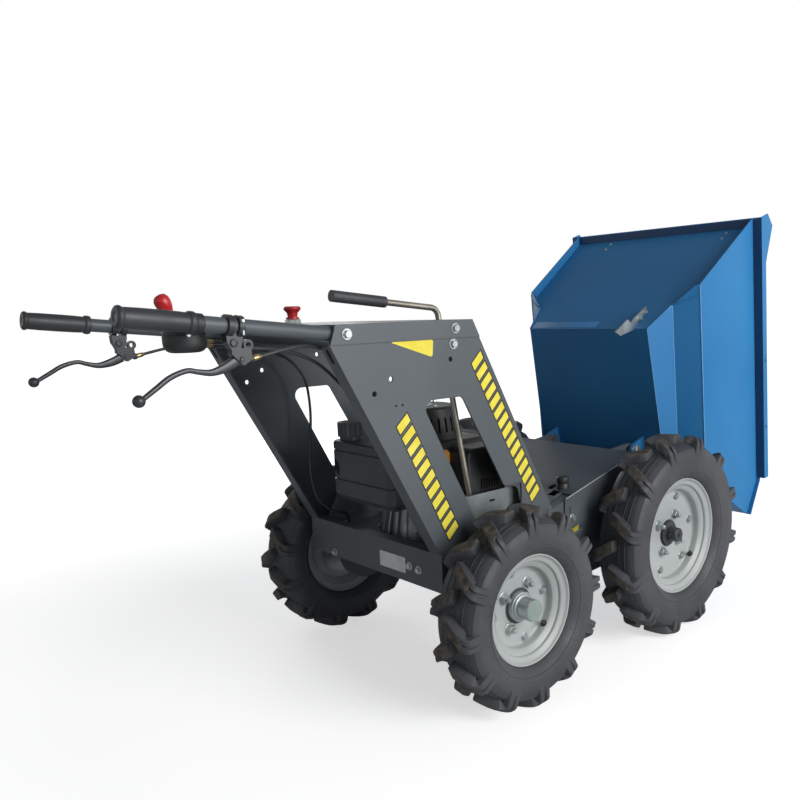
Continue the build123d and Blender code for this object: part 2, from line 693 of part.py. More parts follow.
def control_cables():
    # Two brake cables from the lever brackets to the tray, and the throttle's to the engine.
    down = {
        "right": [(-384, 208, 755), (-328, 194, 738), (-275, 191, 692), (-228, 190, 620), (-200, 189, 540),
                  (-180, 187, 460), (-154, 182, 392), (-112, 174, 346), (-70, 168, 336)],
        "left": [(-398, 210, 752), (-334, 194, 747), (-262, 187, 735), (-196, 184, 712), (-156, 183, 662),
                 (-149, 182, 590), (-156, 181, 516), (-163, 179, 444), (-150, 176, 380), (-112, 171, 345),
                 (-72, 167, 336)],
    }
    tubes = []
    for name, side in sides:
        start, stop = adjuster(name)
        leaving = stop + (stop - start).normalized() * cable_lead
        route = [tuple(stop), tuple(leaving)] + down[name] + [(*down[name][-1][:2], bed_z)]
        tubes.append(mirrored(cable(route), side))
    start = (throttle_x + throttle_d / 2, throttle_y, throttle_top - 25)
    inside = [(-490, -184, 755), (-415, -181, 748), (-352, -178, 722), (-300, -172, 676), (-242, -150, 636),
              (-178, -112, 603), (-112, -78, 578), (-52, -62, 560)]
    tubes.append(cable([start] + inside + [(*inside[-1][:2], shroud_top)]))
    return Compound([solid for tube in tubes for solid in tube.solids()])


def cable(route):
    # A cord: straight runs joined by tangent arcs, each as large as its runs allow.
    points = [Vector(*point) for point in route]
    radii = []
    for before, here, after in zip(points, points[1:], points[2:]):
        turn = (here - before).get_angle(after - here)
        radii.append(0.45 * min((here - before).length, (after - here).length) / tan(radians(turn / 2)))
    print("cable bends of radius", [round(radius) for radius in radii])
    path = FilletPolyline(*points, radius=radii)
    return sweep(Plane(path @ 0, z_dir=path % 0) * Circle(cable_d / 2), path=path)


def shift_rod():
    bottom = bed_z + 1.5
    foot_x = shift_foot[0] + (shift_foot[1] - bottom) * shift_lean()
    pts = [(foot_x, shift_y, bottom), (shift_top[0], shift_y, shift_top[1]),
           (shift_end_x + shift_grip_length - shift_grip_over, shift_y, shift_top[1] + shift_rise)]
    path = FilletPolyline(*pts, radius=20)
    return sweep(Plane(path @ 0, z_dir=path % 0) * Circle(shift_rod_d / 2), path=path)


def shift_grip():
    over = shift_grip_over
    bend = Vector(shift_top[0], shift_y, shift_top[1])
    end = Vector(shift_end_x + shift_grip_length - over, shift_y, shift_top[1] + shift_rise)
    direction = (end - bend).normalized()
    grip = rod(end - direction * over, end + direction * (shift_grip_length - over), shift_grip_d)
    return grip - rod(end - direction * (over + 1), end, shift_rod_d)


def emergency_stop():
    # Mushroom head on a tapered neck and a round collar.
    r = stop_head_d / 2
    profile = [(0, 0), (13, 0), (13, 14), (9.5, 14), (10.5, 22), (r - 1, 28), (r, 30), (r, 33), (r - 3, 35),
               (0, 35)]
    return Pos(stop_x, 0, frame_top) * revolve(Plane.XZ * Polygon(*profile, align=None), axis=Axis.Z)


def throttle_control():
    # Round-bottomed housing clamped to the right tube, with a knob on a bent stem.
    z1, z0 = throttle_top, throttle_top - throttle_height
    bowl = rod((throttle_x, throttle_y, z0), (throttle_x, throttle_y, z1), throttle_d)
    bowl = fillet(bowl.faces().sort_by(Axis.Z)[0].edges(), 15)
    tx, ty, tz = tube_point(throttle_x + 14)
    middle = Vector(tx, -ty, tz)
    along = tube_direction()
    along = Vector(along.X, -along.Y, along.Z)
    clamp = rod(middle - along * 9, middle + along * 9, tube_d + 9)
    bridge = box(tx - 9, tx + 9, -ty - 6, throttle_y, z1 - 26, z1 - 4)
    clamp = clamp + bridge - rod(middle - along * 30, middle + along * 30, tube_d)
    foot, head = Vector(throttle_x - 6, throttle_y, z1 - 4), Vector(throttle_x - 28, throttle_y, z1 + 39)
    rise = (head - foot).normalized()
    r = throttle_knob_d / 2
    knob = Pos(*head) * Sphere(r)
    neck = Solid.make_cone(r * 0.5, r * 0.96, r, Plane(head - rise * (r * 1.25), z_dir=rise))
    return bowl + clamp + rod(foot, head, 8) + neck + knob


# ---------------------------------------------------------------- tub, drawn level and then tipped
def tub_frame():
    # Moves the tub from its rim's frame (s forward, m up from the floor's rear edge) to its stop.
    along = (cos(radians(floor_lean)), -sin(radians(floor_lean)))
    above = (sin(radians(floor_lean)), cos(radians(floor_lean)))
    rear_x = hinge_x - hinge_u * along[0] - hinge_n * above[0]
    rear_z = hinge_z - hinge_u * along[1] - hinge_n * above[1]
    return Location((rear_x, 0, rear_z)) * Rot(0, floor_lean + rim_lean, 0)


def floor_frame():
    # The same, from the floor's frame (u forward along the floor, n up from it).
    return tub_frame() * Rot(0, -rim_lean, 0)


def rear_s(m):
    return -m * tan(radians(rear_wall_slope))


def tub_section(inset, top):
    # The tub's section across the machine, moved in by the sheet's thickness for its inside.
    low = -60.0
    bevel = (ledge_inner[0] - floor_half) / ledge_inner[1]
    flare = (rim_half - ledge_outer[0]) / (rim_height - ledge_outer[1])
    half = [(ledge_inner[0] + bevel * (low - ledge_inner[1]), low), ledge_inner, ledge_outer,
            (ledge_outer[0] + flare * (top - ledge_outer[1]), top)]
    section = Polygon(*(half + [(-y, m) for y, m in reversed(half)]), align=None)
    if inset:
        section = offset(section, -inset, kind=Kind.INTERSECTION)
    plane = Plane((-400, 0, 0), x_dir=(0, 1, 0), z_dir=(1, 0, 0))
    return extrude(plane * section, amount=1100, dir=(1, 0, 0))


def tub_solid(inset=0.0):
    # The tub's outside, or with an inset the hollow in it, open at the top.
    front = (floor_length * cos(radians(rim_lean)), floor_length * sin(radians(rim_lean)))
    top = rim_height + 130 if inset else rim_height
    if inset:
        share = (top - front[1]) / (spout[1] - front[1])
        outline = [(0, 0), front, (front[0] + (spout[0] - front[0]) * share, top), (rear_s(top), top)]
    else:
        outline = [(0, 0), front, spout, (spout_shoulder, top), (rear_s(top), top)]
    profile = Polygon(*outline, align=None)
    if inset:
        profile = offset(profile, -inset, kind=Kind.INTERSECTION)
    plane = Plane((0, -400, 0), x_dir=(1, 0, 0), z_dir=(0, -1, 0))
    return tub_section(inset, top) & extrude(plane * profile, amount=800, dir=(0, 1, 0))


def tub_shell():
    shell = tub_solid() - tub_solid(tub_sheet)
    # the side walls and ledges carry on past the rear wall
    reach = panel([(rear_s(ledge_outer[1]) - side_overhang, ledge_outer[1] - 6),
                   (rear_s(ledge_inner[1]), ledge_inner[1]),
                   (rear_s(ledge_inner[1]) + 4, ledge_inner[1]), (rear_s(rim_height) + 4, rim_height),
                   (rear_s(rim_height) - side_overhang, rim_height)], -400, 400)
    wings = (tub_section(0, rim_height) - tub_section(tub_sheet, rim_height + 60)) & reach
    return tub_frame() * (shell + wings)


def tub_rim():
    # Outward flange with an upturned lip along the rear and both sides. The lip rises to an ear at
    # each rear corner, and a strip runs down each side's slope to the pouring lip.
    t, w = tub_sheet, rim_flange_width
    rear, front = rear_s(rim_height), spout_shoulder - 6
    y, lip_top = rim_half, rim_height + rim_lip
    ring = box(rear - w, front, -y - w, y + w, rim_height, rim_height + t)
    ring -= box(rear, front + 1, -y + t, y - t, rim_height - 1, rim_height + t + 1)
    lip = [(rear - w, rim_height), (rear - w - 7, lip_top + rim_ear / 3), (rear, lip_top + rim_ear),
           (rear + rim_ear_length - 18, lip_top + 6), (rear + rim_ear_length, lip_top), (front, lip_top),
           (front, rim_height)]
    ring += box(rear - w, rear - w + t, -y - w, y + w, rim_height, lip_top)
    run, fall = spout[0] - spout_shoulder, rim_height - spout[1]
    slope_length = (run ** 2 + fall ** 2) ** 0.5
    lift = (t * fall / slope_length, t * run / slope_length)
    fold = spout_shoulder + lift[0] / 2
    strip = [(front, rim_height), (spout_shoulder, rim_height), spout,
             (spout[0] + lift[0], spout[1] + lift[1]), (fold, rim_height + t), (front, rim_height + t)]
    for name, side in sides:
        ring += mirrored(panel(lip, y + w - t, y + w), side)
        ring += mirrored(panel(strip, y - t - 4, y + spout_strip), side)
    return tub_frame() * ring


def tub_ear():
    # Hinge ear under the floor, outboard of the chassis bracket and rounded about the pin.
    u, r, y0, y1 = hinge_u, hinge_eye / 2, hinge_y, hinge_y + hinge_plate
    ear = panel([(u - r - 24, 0), (u + r + 20, 0), (u + r, hinge_n), (u - r, hinge_n)], y0, y1)
    ear += rod((u, y0, hinge_n), (u, y1, hinge_n), hinge_eye)
    ear -= rod((u, y0 - 1, hinge_n), (u, y1 + 1, hinge_n), hinge_pin_d + 2 * hinge_gap)
    return floor_frame() * ear


def tub_latch():
    # Zinc hook on edge: a foot up the rear wall, and a barbed tongue that drops through the deck.
    wall = rear_s(1.0) + tan(radians(rim_lean))       # the rear wall's lean, in the floor's frame
    heel, toe = 12.0, 62.0
    hook = [(wall * heel, heel), (wall * toe, toe), (wall * toe - 12, toe + 2), (wall * heel - 20, heel - 6),
            (-16, -9), (-28, -22), (-13, -66), (-10, -82), (5, -61), (3, -2), (2, 0), (0, 0)]
    return floor_frame() * panel(hook, latch_y - latch_sheet / 2, latch_y + latch_sheet / 2, [(7, 3)])


# ---------------------------------------------------------------- the machine
def build_machine():
    nodes = {
        "side_plate_right": mirrored(side_plate(), -1),
        "side_plate_left": side_plate(),
        "top_cover": top_cover(),
        "rear_channel": rear_channel(),
        "engine_bed": engine_bed(),
        "deck": deck(),
        "chassis_rails": both(chassis_rail),
        "chain_cases": both(chain_case),
        "belly_pan": belly_pan(),
        "hinge_brackets": both(hinge_bracket),
        "deck_buffers": both(deck_buffer),
        "gearbox": gearbox(),
        "engine_block": engine_block(),
        "engine_shroud": engine_shroud(),
        "recoil_starter": recoil_starter(),
        "fuel_tank": fuel_tank(),
        "muffler": muffler(),
        "air_filter": air_filter(),
        "handle_tubes": both(handle_tube),
        "hand_grips": both(hand_grip),
        "lever_brackets": one_each(lever_bracket),
        "hand_levers": one_each(hand_lever),
        "control_cables": control_cables(),
        "shift_rod": shift_rod(),
        "shift_grip": shift_grip(),
        "emergency_stop": emergency_stop(),
        "throttle_control": throttle_control(),
        "tub_shell": tub_shell(),
        "tub_rim": tub_rim(),
        "tub_hinge_ears": both(tub_ear),
        "tub_latch": tub_latch(),
    }
    for name, x, outer_d, seat_d, nose_d, nose_length in wheels:
        nodes[f"{name}_axle_tube"] = axle_tube(x, outer_d / 2)
        for label, side in sides:
            nodes[f"{name}_{label}_tyre"] = mirrored(tyre(x, outer_d, seat_d), side)
            nodes[f"{name}_{label}_rim"] = mirrored(rim(x, outer_d, seat_d), side)
            nodes[f"{name}_{label}_hub"] = mirrored(hub(x, outer_d, nose_d, nose_length), side)
    return nodes


os.makedirs("parts", exist_ok=True)
machine = build_machine()
extent = Compound(list(machine.values())).bounding_box()
centred = Pos(-(extent.min.X + extent.max.X) / 2, -(extent.min.Y + extent.max.Y) / 2, -extent.min.Z)
for node, shape in machine.items():
    export_step(centred * shape, f"parts/{node}.step")
print("shift", centred.position)
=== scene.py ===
"""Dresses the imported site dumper: camera and light, materials, and the pieces finer than its solids.

Sizes are millimetres of the drawing, whose X runs forward from the rear axle, Y left and Z up.
"""
import json
import math

import bmesh
import bpy
from mathutils import Matrix, Vector


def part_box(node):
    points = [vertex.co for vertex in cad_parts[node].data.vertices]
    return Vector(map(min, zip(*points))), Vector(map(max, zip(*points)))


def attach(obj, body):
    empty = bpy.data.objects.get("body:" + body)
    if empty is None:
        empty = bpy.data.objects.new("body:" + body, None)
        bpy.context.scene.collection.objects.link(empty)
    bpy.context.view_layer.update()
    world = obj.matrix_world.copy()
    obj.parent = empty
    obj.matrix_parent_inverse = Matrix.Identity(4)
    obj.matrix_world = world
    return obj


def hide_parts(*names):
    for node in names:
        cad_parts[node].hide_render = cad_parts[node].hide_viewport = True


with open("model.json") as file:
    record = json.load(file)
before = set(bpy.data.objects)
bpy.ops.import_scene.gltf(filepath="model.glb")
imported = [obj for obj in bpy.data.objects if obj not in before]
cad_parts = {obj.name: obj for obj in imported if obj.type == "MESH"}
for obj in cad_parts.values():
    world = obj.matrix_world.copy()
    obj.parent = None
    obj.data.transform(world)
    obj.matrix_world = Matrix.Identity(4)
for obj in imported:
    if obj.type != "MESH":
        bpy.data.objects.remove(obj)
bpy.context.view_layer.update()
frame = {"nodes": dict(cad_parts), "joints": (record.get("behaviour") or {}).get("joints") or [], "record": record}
nodes = frame["nodes"]
scene = bpy.context.scene
joints = {j["name"]: Vector(j["pos_m"]) for j in frame["joints"]}
REAR_X = joints["rear_left_axle"].x      # the drawing's X = 0
RIGHT, BACK, UP = Vector((0, -1, 0)), Vector((-1, 0, 0)), Vector((0, 0, 1))
SIDES = (("right", -1), ("left", 1))


def at(x, y, z):
    """A point of the drawing, in millimetres from the rear axle's middle, in the frame's metres."""
    return Vector((REAR_X + x / 1000, y / 1000, z / 1000))


# ------------------------------------------------------------------ camera, light and floor
CAMERA_PLACE = (-1131.6, -1398.1, 806.6)
YAW, PITCH, ROLL = math.radians(47.73), math.radians(9.8), math.radians(-1.72)
LENS, SENSOR = 36.06, 36.0
SHIFT = (-0.0728, 0.0604)                # the photograph's frame isn't centred on the lens
SKY, SKY_LIGHT = (0.86, 0.9, 0.95, 1), 0.17
SKY_SHINE = (0.05, 0.55, 1.0, 0.14)      # two heights of the sky, and how white gloss sees it at each
FLOOR_COLOUR = (0.82, 0.82, 0.82, 1)
FLOOR_WHITE = (0.9, 3.2, 0.6, 1.0)       # metres from the middle, and the white that the camera sees there
FLOOR_REACH, FLOOR_DROP = 30.0, -0.0005  # metres
WHITE = (1, 1, 1, 1)


def rgb(text):
    """A colour as it is seen, #rrggbb, in Blender's linear values."""
    def linear(v):
        return v / 12.92 if v <= 0.04045 else ((v + 0.055) / 1.055) ** 2.4
    return tuple(linear(int(text[i:i + 2], 16) / 255) for i in (1, 3, 5)) + (1.0,)


def maths(tree, operation):
    made = tree.nodes.new("ShaderNodeMath")
    made.operation = operation
    return made


def map_range(tree, start, end, at_start, at_end):
    made = tree.nodes.new("ShaderNodeMapRange")
    for key, value in (("From Min", start), ("From Max", end), ("To Min", at_start), ("To Max", at_end)):
        made.inputs[key].default_value = value
    return made


def make_camera():
    forward = Vector((math.cos(YAW) * math.cos(PITCH), math.sin(YAW) * math.cos(PITCH), -math.sin(PITCH)))
    level = Vector((math.sin(YAW), -math.cos(YAW), 0))
    above = level.cross(forward)
    right = math.cos(ROLL) * level + math.sin(ROLL) * above
    up = -math.sin(ROLL) * level + math.cos(ROLL) * above
    data = bpy.data.cameras.new("camera")
    data.lens, data.sensor_width = LENS, SENSOR
    data.shift_x, data.shift_y = SHIFT
    data.clip_start, data.clip_end = 0.05, 60.0
    cam = bpy.data.objects.new("camera", data)
    turn = Matrix((right, up, -forward)).transposed().to_4x4()
    cam.matrix_world = Matrix.Translation(at(*CAMERA_PLACE)) @ turn
    scene.collection.objects.link(cam)
    scene.camera = cam


def area_light(name, place, target, size, power):
    data = bpy.data.lights.new(name, "AREA")
    data.shape = "RECTANGLE"
    data.size, data.size_y = size
    data.energy = power
    lamp = bpy.data.objects.new(name, data)
    lamp.location = place
    lamp.rotation_euler = (Vector(target) - Vector(place)).to_track_quat("-Z", "Y").to_euler()
    scene.collection.objects.link(lamp)


def make_world():
    """A dim sky that lights the object; the camera sees it white, and gloss sees it darker overhead."""
    world = bpy.data.worlds.new("studio")
    world.use_nodes = True
    tree = world.node_tree
    tree.nodes.clear()
    out = tree.nodes.new("ShaderNodeOutputWorld")
    light = tree.nodes.new("ShaderNodeBackground")
    light.inputs["Color"].default_value = SKY
    light.inputs["Strength"].default_value = SKY_LIGHT
    seen = tree.nodes.new("ShaderNodeBackground")
    seen.inputs["Color"].default_value = WHITE
    seen.inputs["Strength"].default_value = 1.0
    path = tree.nodes.new("ShaderNodeLightPath")
    place = tree.nodes.new("ShaderNodeTexCoord")
    split = tree.nodes.new("ShaderNodeSeparateXYZ")
    fall = map_range(tree, *SKY_SHINE)
    shine, both = maths(tree, "MULTIPLY"), maths(tree, "MAXIMUM")
    mix = tree.nodes.new("ShaderNodeMixShader")
    for a, b in ((place.outputs["Generated"], split.inputs[0]), (split.outputs["Z"], fall.inputs["Value"]),
                 (path.outputs["Is Glossy Ray"], shine.inputs[0]), (fall.outputs["Result"], shine.inputs[1]),
                 (path.outputs["Is Camera Ray"], both.inputs[0]), (shine.outputs[0], both.inputs[1]),
                 (both.outputs[0], mix.inputs["Fac"]), (light.outputs[0], mix.inputs[1]),
                 (seen.outputs[0], mix.inputs[2]), (mix.outputs[0], out.inputs["Surface"])):
        tree.links.new(a, b)
    scene.world = world


def make_floor():
    """A pale floor that takes the shadow; what the camera sees of it grows to plain white further out."""
    mesh = bpy.data.meshes.new("floor")
    s = FLOOR_REACH
    mesh.from_pydata([(-s, -s, 0), (s, -s, 0), (s, s, 0), (-s, s, 0)], [], [(0, 1, 2, 3)])
    floor = bpy.data.objects.new("floor", mesh)
    floor.location.z = FLOOR_DROP
    scene.collection.objects.link(floor)
    m = bpy.data.materials.new("floor_white")
    m.use_nodes = True
    tree = m.node_tree
    tree.nodes.clear()
    out = tree.nodes.new("ShaderNodeOutputMaterial")
    body = tree.nodes.new("ShaderNodeBsdfDiffuse")
    body.inputs["Color"].default_value = FLOOR_COLOUR
    glow = tree.nodes.new("ShaderNodeEmission")
    glow.inputs["Color"].default_value = WHITE
    place = tree.nodes.new("ShaderNodeTexCoord")
    away = tree.nodes.new("ShaderNodeVectorMath")
    away.operation = "LENGTH"
    grow = map_range(tree, *FLOOR_WHITE)
    path = tree.nodes.new("ShaderNodeLightPath")
    scale = maths(tree, "MULTIPLY")
    add = tree.nodes.new("ShaderNodeAddShader")
    for a, b in ((place.outputs["Object"], away.inputs[0]), (away.outputs["Value"], grow.inputs["Value"]),
                 (path.outputs["Is Camera Ray"], scale.inputs[0]), (grow.outputs["Result"], scale.inputs[1]),
                 (scale.outputs[0], glow.inputs["Strength"]), (body.outputs[0], add.inputs[0]),
                 (glow.outputs[0], add.inputs[1]), (add.outputs[0], out.inputs["Surface"])):
        tree.links.new(a, b)
    mesh.materials.append(m)


make_camera()
make_world()
make_floor()
# each lamp's place, target, size in metres and watts
area_light("key", at(700, -3800, 1750), at(150, 0, 450), (2.6, 2.6), 134)
area_light("left_fill", at(800, 3600, 1500), at(100, 0, 450), (3.0, 2.0), 34)
scene.view_settings.view_transform = "Standard"


# ------------------------------------------------------------------ materials
class Surface:
    """One procedural material: a base shader with colour drift, uneven gloss and grain in its nodes."""

    def __init__(self, name, colour, rough, metal=0.0):
        self.material = bpy.data.materials.new(name)
        self.material.use_nodes = True
        self.tree = self.material.node_tree
        self.shader = self.tree.nodes["Principled BSDF"]
        self.shader.inputs["Base Color"].default_value = rgb(colour)
        self.shader.inputs["Roughness"].default_value = rough
        self.shader.inputs["Metallic"].default_value = metal
        self.normal = None
        self.place = self.tree.nodes.new("ShaderNodeTexCoord").outputs["Object"]

    def link(self, a, b):
        self.tree.links.new(a, b)

    def noise(self, scale, detail, stretch=None):
        made = self.tree.nodes.new("ShaderNodeTexNoise")
        made.inputs["Scale"].default_value = scale
        made.inputs["Detail"].default_value = detail
        source = self.place
        if stretch:
            mapping = self.tree.nodes.new("ShaderNodeMapping")
            mapping.inputs["Scale"].default_value = stretch
            self.link(self.place, mapping.inputs["Vector"])
            source = mapping.outputs["Vector"]
        self.link(source, made.inputs["Vector"])
        return made.outputs["Fac"]

    def drift(self, scale, dark, light, detail=2.0):
        """Slow change between two shades over the surface."""
        ramp = self.tree.nodes.new("ShaderNodeValToRGB")
        for element, position, shade in zip(ramp.color_ramp.elements, (0.35, 0.65), (dark, light)):
            element.position = position
            element.color = rgb(shade)
        self.link(self.noise(scale, detail), ramp.inputs["Fac"])
        self.link(ramp.outputs["Color"], self.shader.inputs["Base Color"])

    def uneven(self, scale, low, high):
        """Roughness that wanders between two values."""
        remap = map_range(self.tree, 0.3, 0.7, low, high)
        self.link(self.noise(scale, 3.0), remap.inputs["Value"])
        self.link(remap.outputs["Result"], self.shader.inputs["Roughness"])

    def bump(self, scale, detail, strength, distance, stretch=None):
        made = self.tree.nodes.new("ShaderNodeBump")
        made.inputs["Strength"].default_value = strength
        made.inputs["Distance"].default_value = distance
        self.link(self.noise(scale, detail, stretch), made.inputs["Height"])
        if self.normal is not None:
            self.link(self.normal, made.inputs["Normal"])
        self.normal = made.outputs["Normal"]
        self.link(self.normal, self.shader.inputs["Normal"])

    def soft_edges(self, radius):
        """Rounds sharp edges for the light, as a folded sheet and its paint do."""
        made = self.tree.nodes.new("ShaderNodeBevel")
        made.samples = 4
        made.inputs["Radius"].default_value = radius
        self.normal = made.outputs["Normal"]
        self.link(self.normal, self.shader.inputs["Normal"])


def painted(name, dark, light, rough, radius=0.0012):
    s = Surface(name, light, rough)
    s.drift(2.2, dark, light)
    s.soft_edges(radius)
    s.bump(900, 2, 0.12, 0.00025)
    s.bump(14, 3, 0.05, 0.002)
    s.uneven(9, rough - 0.05, rough + 0.07)
    return s


def grained(name, colour, rough, drift, grain=None, gloss=None, metal=0.0, edges=0.0):
    """Drift is scale, dark, light, detail; grain is scale, detail, strength, distance, stretch;
    gloss is scale and the lowest and highest roughness."""
    s = Surface(name, colour, rough, metal)
    s.drift(*drift)
    if edges:
        s.soft_edges(edges)
    if grain:
        s.bump(*grain)
    if gloss:
        s.uneven(*gloss)
    return s


tub_paint = painted("tub_paint", "#3078b1", "#3782bb", 0.36)
tub_paint.shader.inputs["Specular IOR Level"].default_value = 0.22
# a lighter blue for the folds' rounded outsides: painted highlight
fold_highlight_paint = painted("fold_highlight_paint", "#6aaade", "#7cb8e6", 0.3)
# a lighter blue for the strip along the rear wall's foot: painted highlight
strip_highlight_paint = painted("strip_highlight_paint", "#4488c4", "#4c92d0", 0.4)
# a darker blue for the rim's underside: painted shade
rim_shade_paint = painted("rim_shade_paint", "#143a60", "#18436d", 0.5)
frame_paint = painted("frame_paint", "#50565b", "#5a6065", 0.4)
# a pale grey for the rails' top edges: painted highlight
edge_highlight_paint = painted("edge_highlight_paint", "#a9afb4", "#b9bfc3", 0.34)
black_paint = painted("black_paint", "#2c2f32", "#36393c", 0.36, 0.0006)
lever_paint = painted("lever_paint", "#303337", "#3a3d41", 0.3, 0.0004)
wheel_paint = painted("wheel_paint", "#a6abaa", "#b2b7b5", 0.36, 0.0008)

rubber = grained("tyre_rubber", "#424449", 0.58, (6, "#3a3c41", "#4d4e51"),
                 (500, 3, 0.25, 0.0004), (18, 0.5, 0.72))
dusty_rubber = grained("dusty_lug_tops", "#4a4642", 0.85, (60, "#383532", "#6a635b", 4),
                       (700, 4, 0.5, 0.0005), (60, 0.75, 0.92))
soft_rubber = grained("grip_rubber", "#34363a", 0.42, (12, "#2f3134", "#3b3e41"),
                      (700, 2, 0.2, 0.0003), (30, 0.4, 0.55))
plastic = grained("moulded_plastic", "#222426", 0.45, (8, "#1e2021", "#292b2d"),
                  (1400, 2, 0.3, 0.00025), (20, 0.4, 0.55), edges=0.0012)
tank_plastic = grained("tank_plastic", "#383c3f", 0.42, (8, "#34373a", "#3e4245"),
                       (1400, 2, 0.3, 0.00025), (20, 0.38, 0.52), edges=0.0012)
red = grained("red_plastic", "#c4262b", 0.28, (20, "#b92127", "#cc2c30"),
              (600, 2, 0.08, 0.0002), (30, 0.24, 0.34))
bright_paint = grained("tab_orange", "#ffab3f", 0.4, (30, "#ff9a2a", "#ffb857"))

zinc = grained("zinc_plating", "#b2b8b8", 0.36, (16, "#a4aaab", "#c0c6c6"),
               (260, 3, 0.12, 0.0003, (1, 1, 8)), (40, 0.32, 0.46), 0.85)
rod_zinc = grained("yellow_zinc", "#aaa598", 0.32, (20, "#9a9588", "#b8b3a6"), metal=0.85)
bed_zinc = grained("bed_zinc", "#868c8d", 0.5, (16, "#7a8081", "#91989a"), None, (40, 0.44, 0.58), 0.6)
cap_green = grained("passivated_cap", "#a3b2ac", 0.34, (30, "#98a8a2", "#adbbb5"),
                    (500, 3, 0.15, 0.0003), (50, 0.3, 0.45), 0.6)
brass = grained("brass", "#b5a36f", 0.3, (60, "#a8955f", "#c3b383"),
                (800, 2, 0.15, 0.0002), (60, 0.24, 0.38), 0.9)
casting = grained("aluminium_casting", "#85898b", 0.5, (20, "#74787a", "#8f9395"),
                  (420, 4, 0.4, 0.0006), (60, 0.42, 0.62), 0.75)
# a darker copy of the casting, used on the gearbox
darker_casting = grained("darker_casting", "#5f6365", 0.55, (20, "#4f5254", "#6c7072"),
                       (420, 4, 0.4, 0.0006), (60, 0.48, 0.66), 0.6)
dark_steel = grained("exhaust_steel", "#2c2b2a", 0.6, (14, "#262524", "#383532"),
                     (300, 4, 0.3, 0.0005), (30, 0.5, 0.7), 0.3)

print_yellow = grained("printed_yellow", "#f1e04a", 0.35, (30, "#ecd93c", "#f5e65a"),
                       (900, 2, 0.06, 0.0002), (40, 0.3, 0.4))
print_black = grained("printed_black", "#141516", 0.4, (30, "#121314", "#191a1b"),
                      (900, 2, 0.06, 0.0002), (40, 0.34, 0.46))
print_white = grained("blank_plate", "#dfe4e4", 0.38, (40, "#d6dbdb", "#e8ecec"),
                      (700, 2, 0.08, 0.0002), (40, 0.3, 0.45))
# near black for holes, slots and gaps: painted shade
gap_shade = grained("gap_shade", "#070707", 0.9, (30, "#050505", "#0a0a0a"), (300, 2, 0.1, 0.0003))

looks = {
    "tub_blue": tub_paint, "frame_grey": frame_paint, "handle_black": black_paint, "rim_silver": wheel_paint,
    "tyre_black": rubber, "zinc_plate": zinc, "dark_steel": dark_steel, "cast_grey": casting,
    "black_plastic": plastic, "rubber_black": soft_rubber, "lever_steel": black_paint, "red_plastic": red,
    "cable_black": soft_rubber,
}
slots = {s["node"]: s["material_slot"] for s in frame["record"]["subparts"]}
for name, obj in nodes.items():
    obj.data.materials.clear()
    obj.data.materials.append(looks[slots[name]].material)


# ------------------------------------------------------------------ mesh tools
def new_piece(name, bm, body, surfaces, smooth, origin=(0, 0, 0)):
    """Turns a bmesh into an object that rides on a body; its faces keep their material numbers."""
    bmesh.ops.recalc_face_normals(bm, faces=bm.faces)
    mesh = bpy.data.meshes.new(name)
    bm.to_mesh(mesh)
    bm.free()
    for surface in surfaces:
        mesh.materials.append(surface.material)
    mesh.shade_smooth()
    mesh.set_sharp_from_angle(angle=math.radians(smooth))
    obj = bpy.data.objects.new(name, mesh)
    obj.location = origin
    scene.collection.objects.link(obj)
    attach(obj, body)
    return obj


def frame_of(direction):
    """Three axes: the last one points along the direction."""
    z = Vector(direction).normalized()
    x = z.orthogonal().normalized()
    if abs(z.z) < 0.99:
        x = Vector((0, 0, 1)).cross(z).normalized()
    return x, z.cross(x), z


def rings(bm, loops, number=0):
    """Skins a row of closed loops, each a list of points, and caps its two ends."""
    rows = [[bm.verts.new(p) for p in loop] for loop in loops]
    count = len(rows[0])
    faces = []
    for a, b in zip(rows, rows[1:]):
        for k in range(count):
            j = (k + 1) % count
            faces.append(bm.faces.new((a[k], a[j], b[j], b[k])))
    faces.append(bm.faces.new(list(reversed(rows[0]))))
    faces.append(bm.faces.new(rows[-1]))
    for face in faces:
        face.material_index = number
    return faces


def turned(bm, place, direction, profile, sides=24, phase=0.0):
    """A body of rotation, or a prism with few sides: (radius, height) points along a direction, in mm."""
    x, y, z = frame_of(direction)
    loops = []
    for r, h in profile:
        loop = []
        for k in range(sides):
            a = phase + 2 * math.pi * k / sides
            out = (x * math.cos(a) + y * math.sin(a)) * (max(r, 0.01) / 1000)
            loop.append(Vector(place) + out + z * (h / 1000))
        loops.append(loop)
    rings(bm, loops)


def hex_bolt(bm, place, direction, across, head, washer, turn, shank=0.0):
    """Hex head with a chamfered top on a washer; a shank makes it a nut on a stud. The turn, in radians,
    sets like bolts apart."""
    r = across / 2 / math.cos(math.pi / 6)
    top = washer + head
    turned(bm, place, direction,
           [(across * 0.8, -0.2), (across * 0.8, washer - 0.4), (across * 0.76, washer)], 28)
    turned(bm, place, direction, [(r, washer - 0.1), (r, top - 0.9), (r * 0.9, top)], 6, turn)
    if shank:
        turned(bm, place, direction,
               [(across * 0.3, washer), (across * 0.3, top + shank - 1), (across * 0.24, top + shank)], 18)


def slab(bm, points, thickness, direction, number=0, bevel=0.0):
    """A flat outline (points in the frame's metres) given a thickness in mm along a direction."""
    step = Vector(direction).normalized() * (thickness / 1000)
    low = [Vector(p) for p in points]
    middle = sum(low, Vector()) / len(low)
    top = [p + step for p in low]
    if bevel:
        top = [p + (middle - p).normalized() * (bevel / 1000) for p in top]
        edge = [p + step * 0.6 for p in low]
        rings(bm, [low, edge, top], number)
    else:
        rings(bm, [low, top], number)


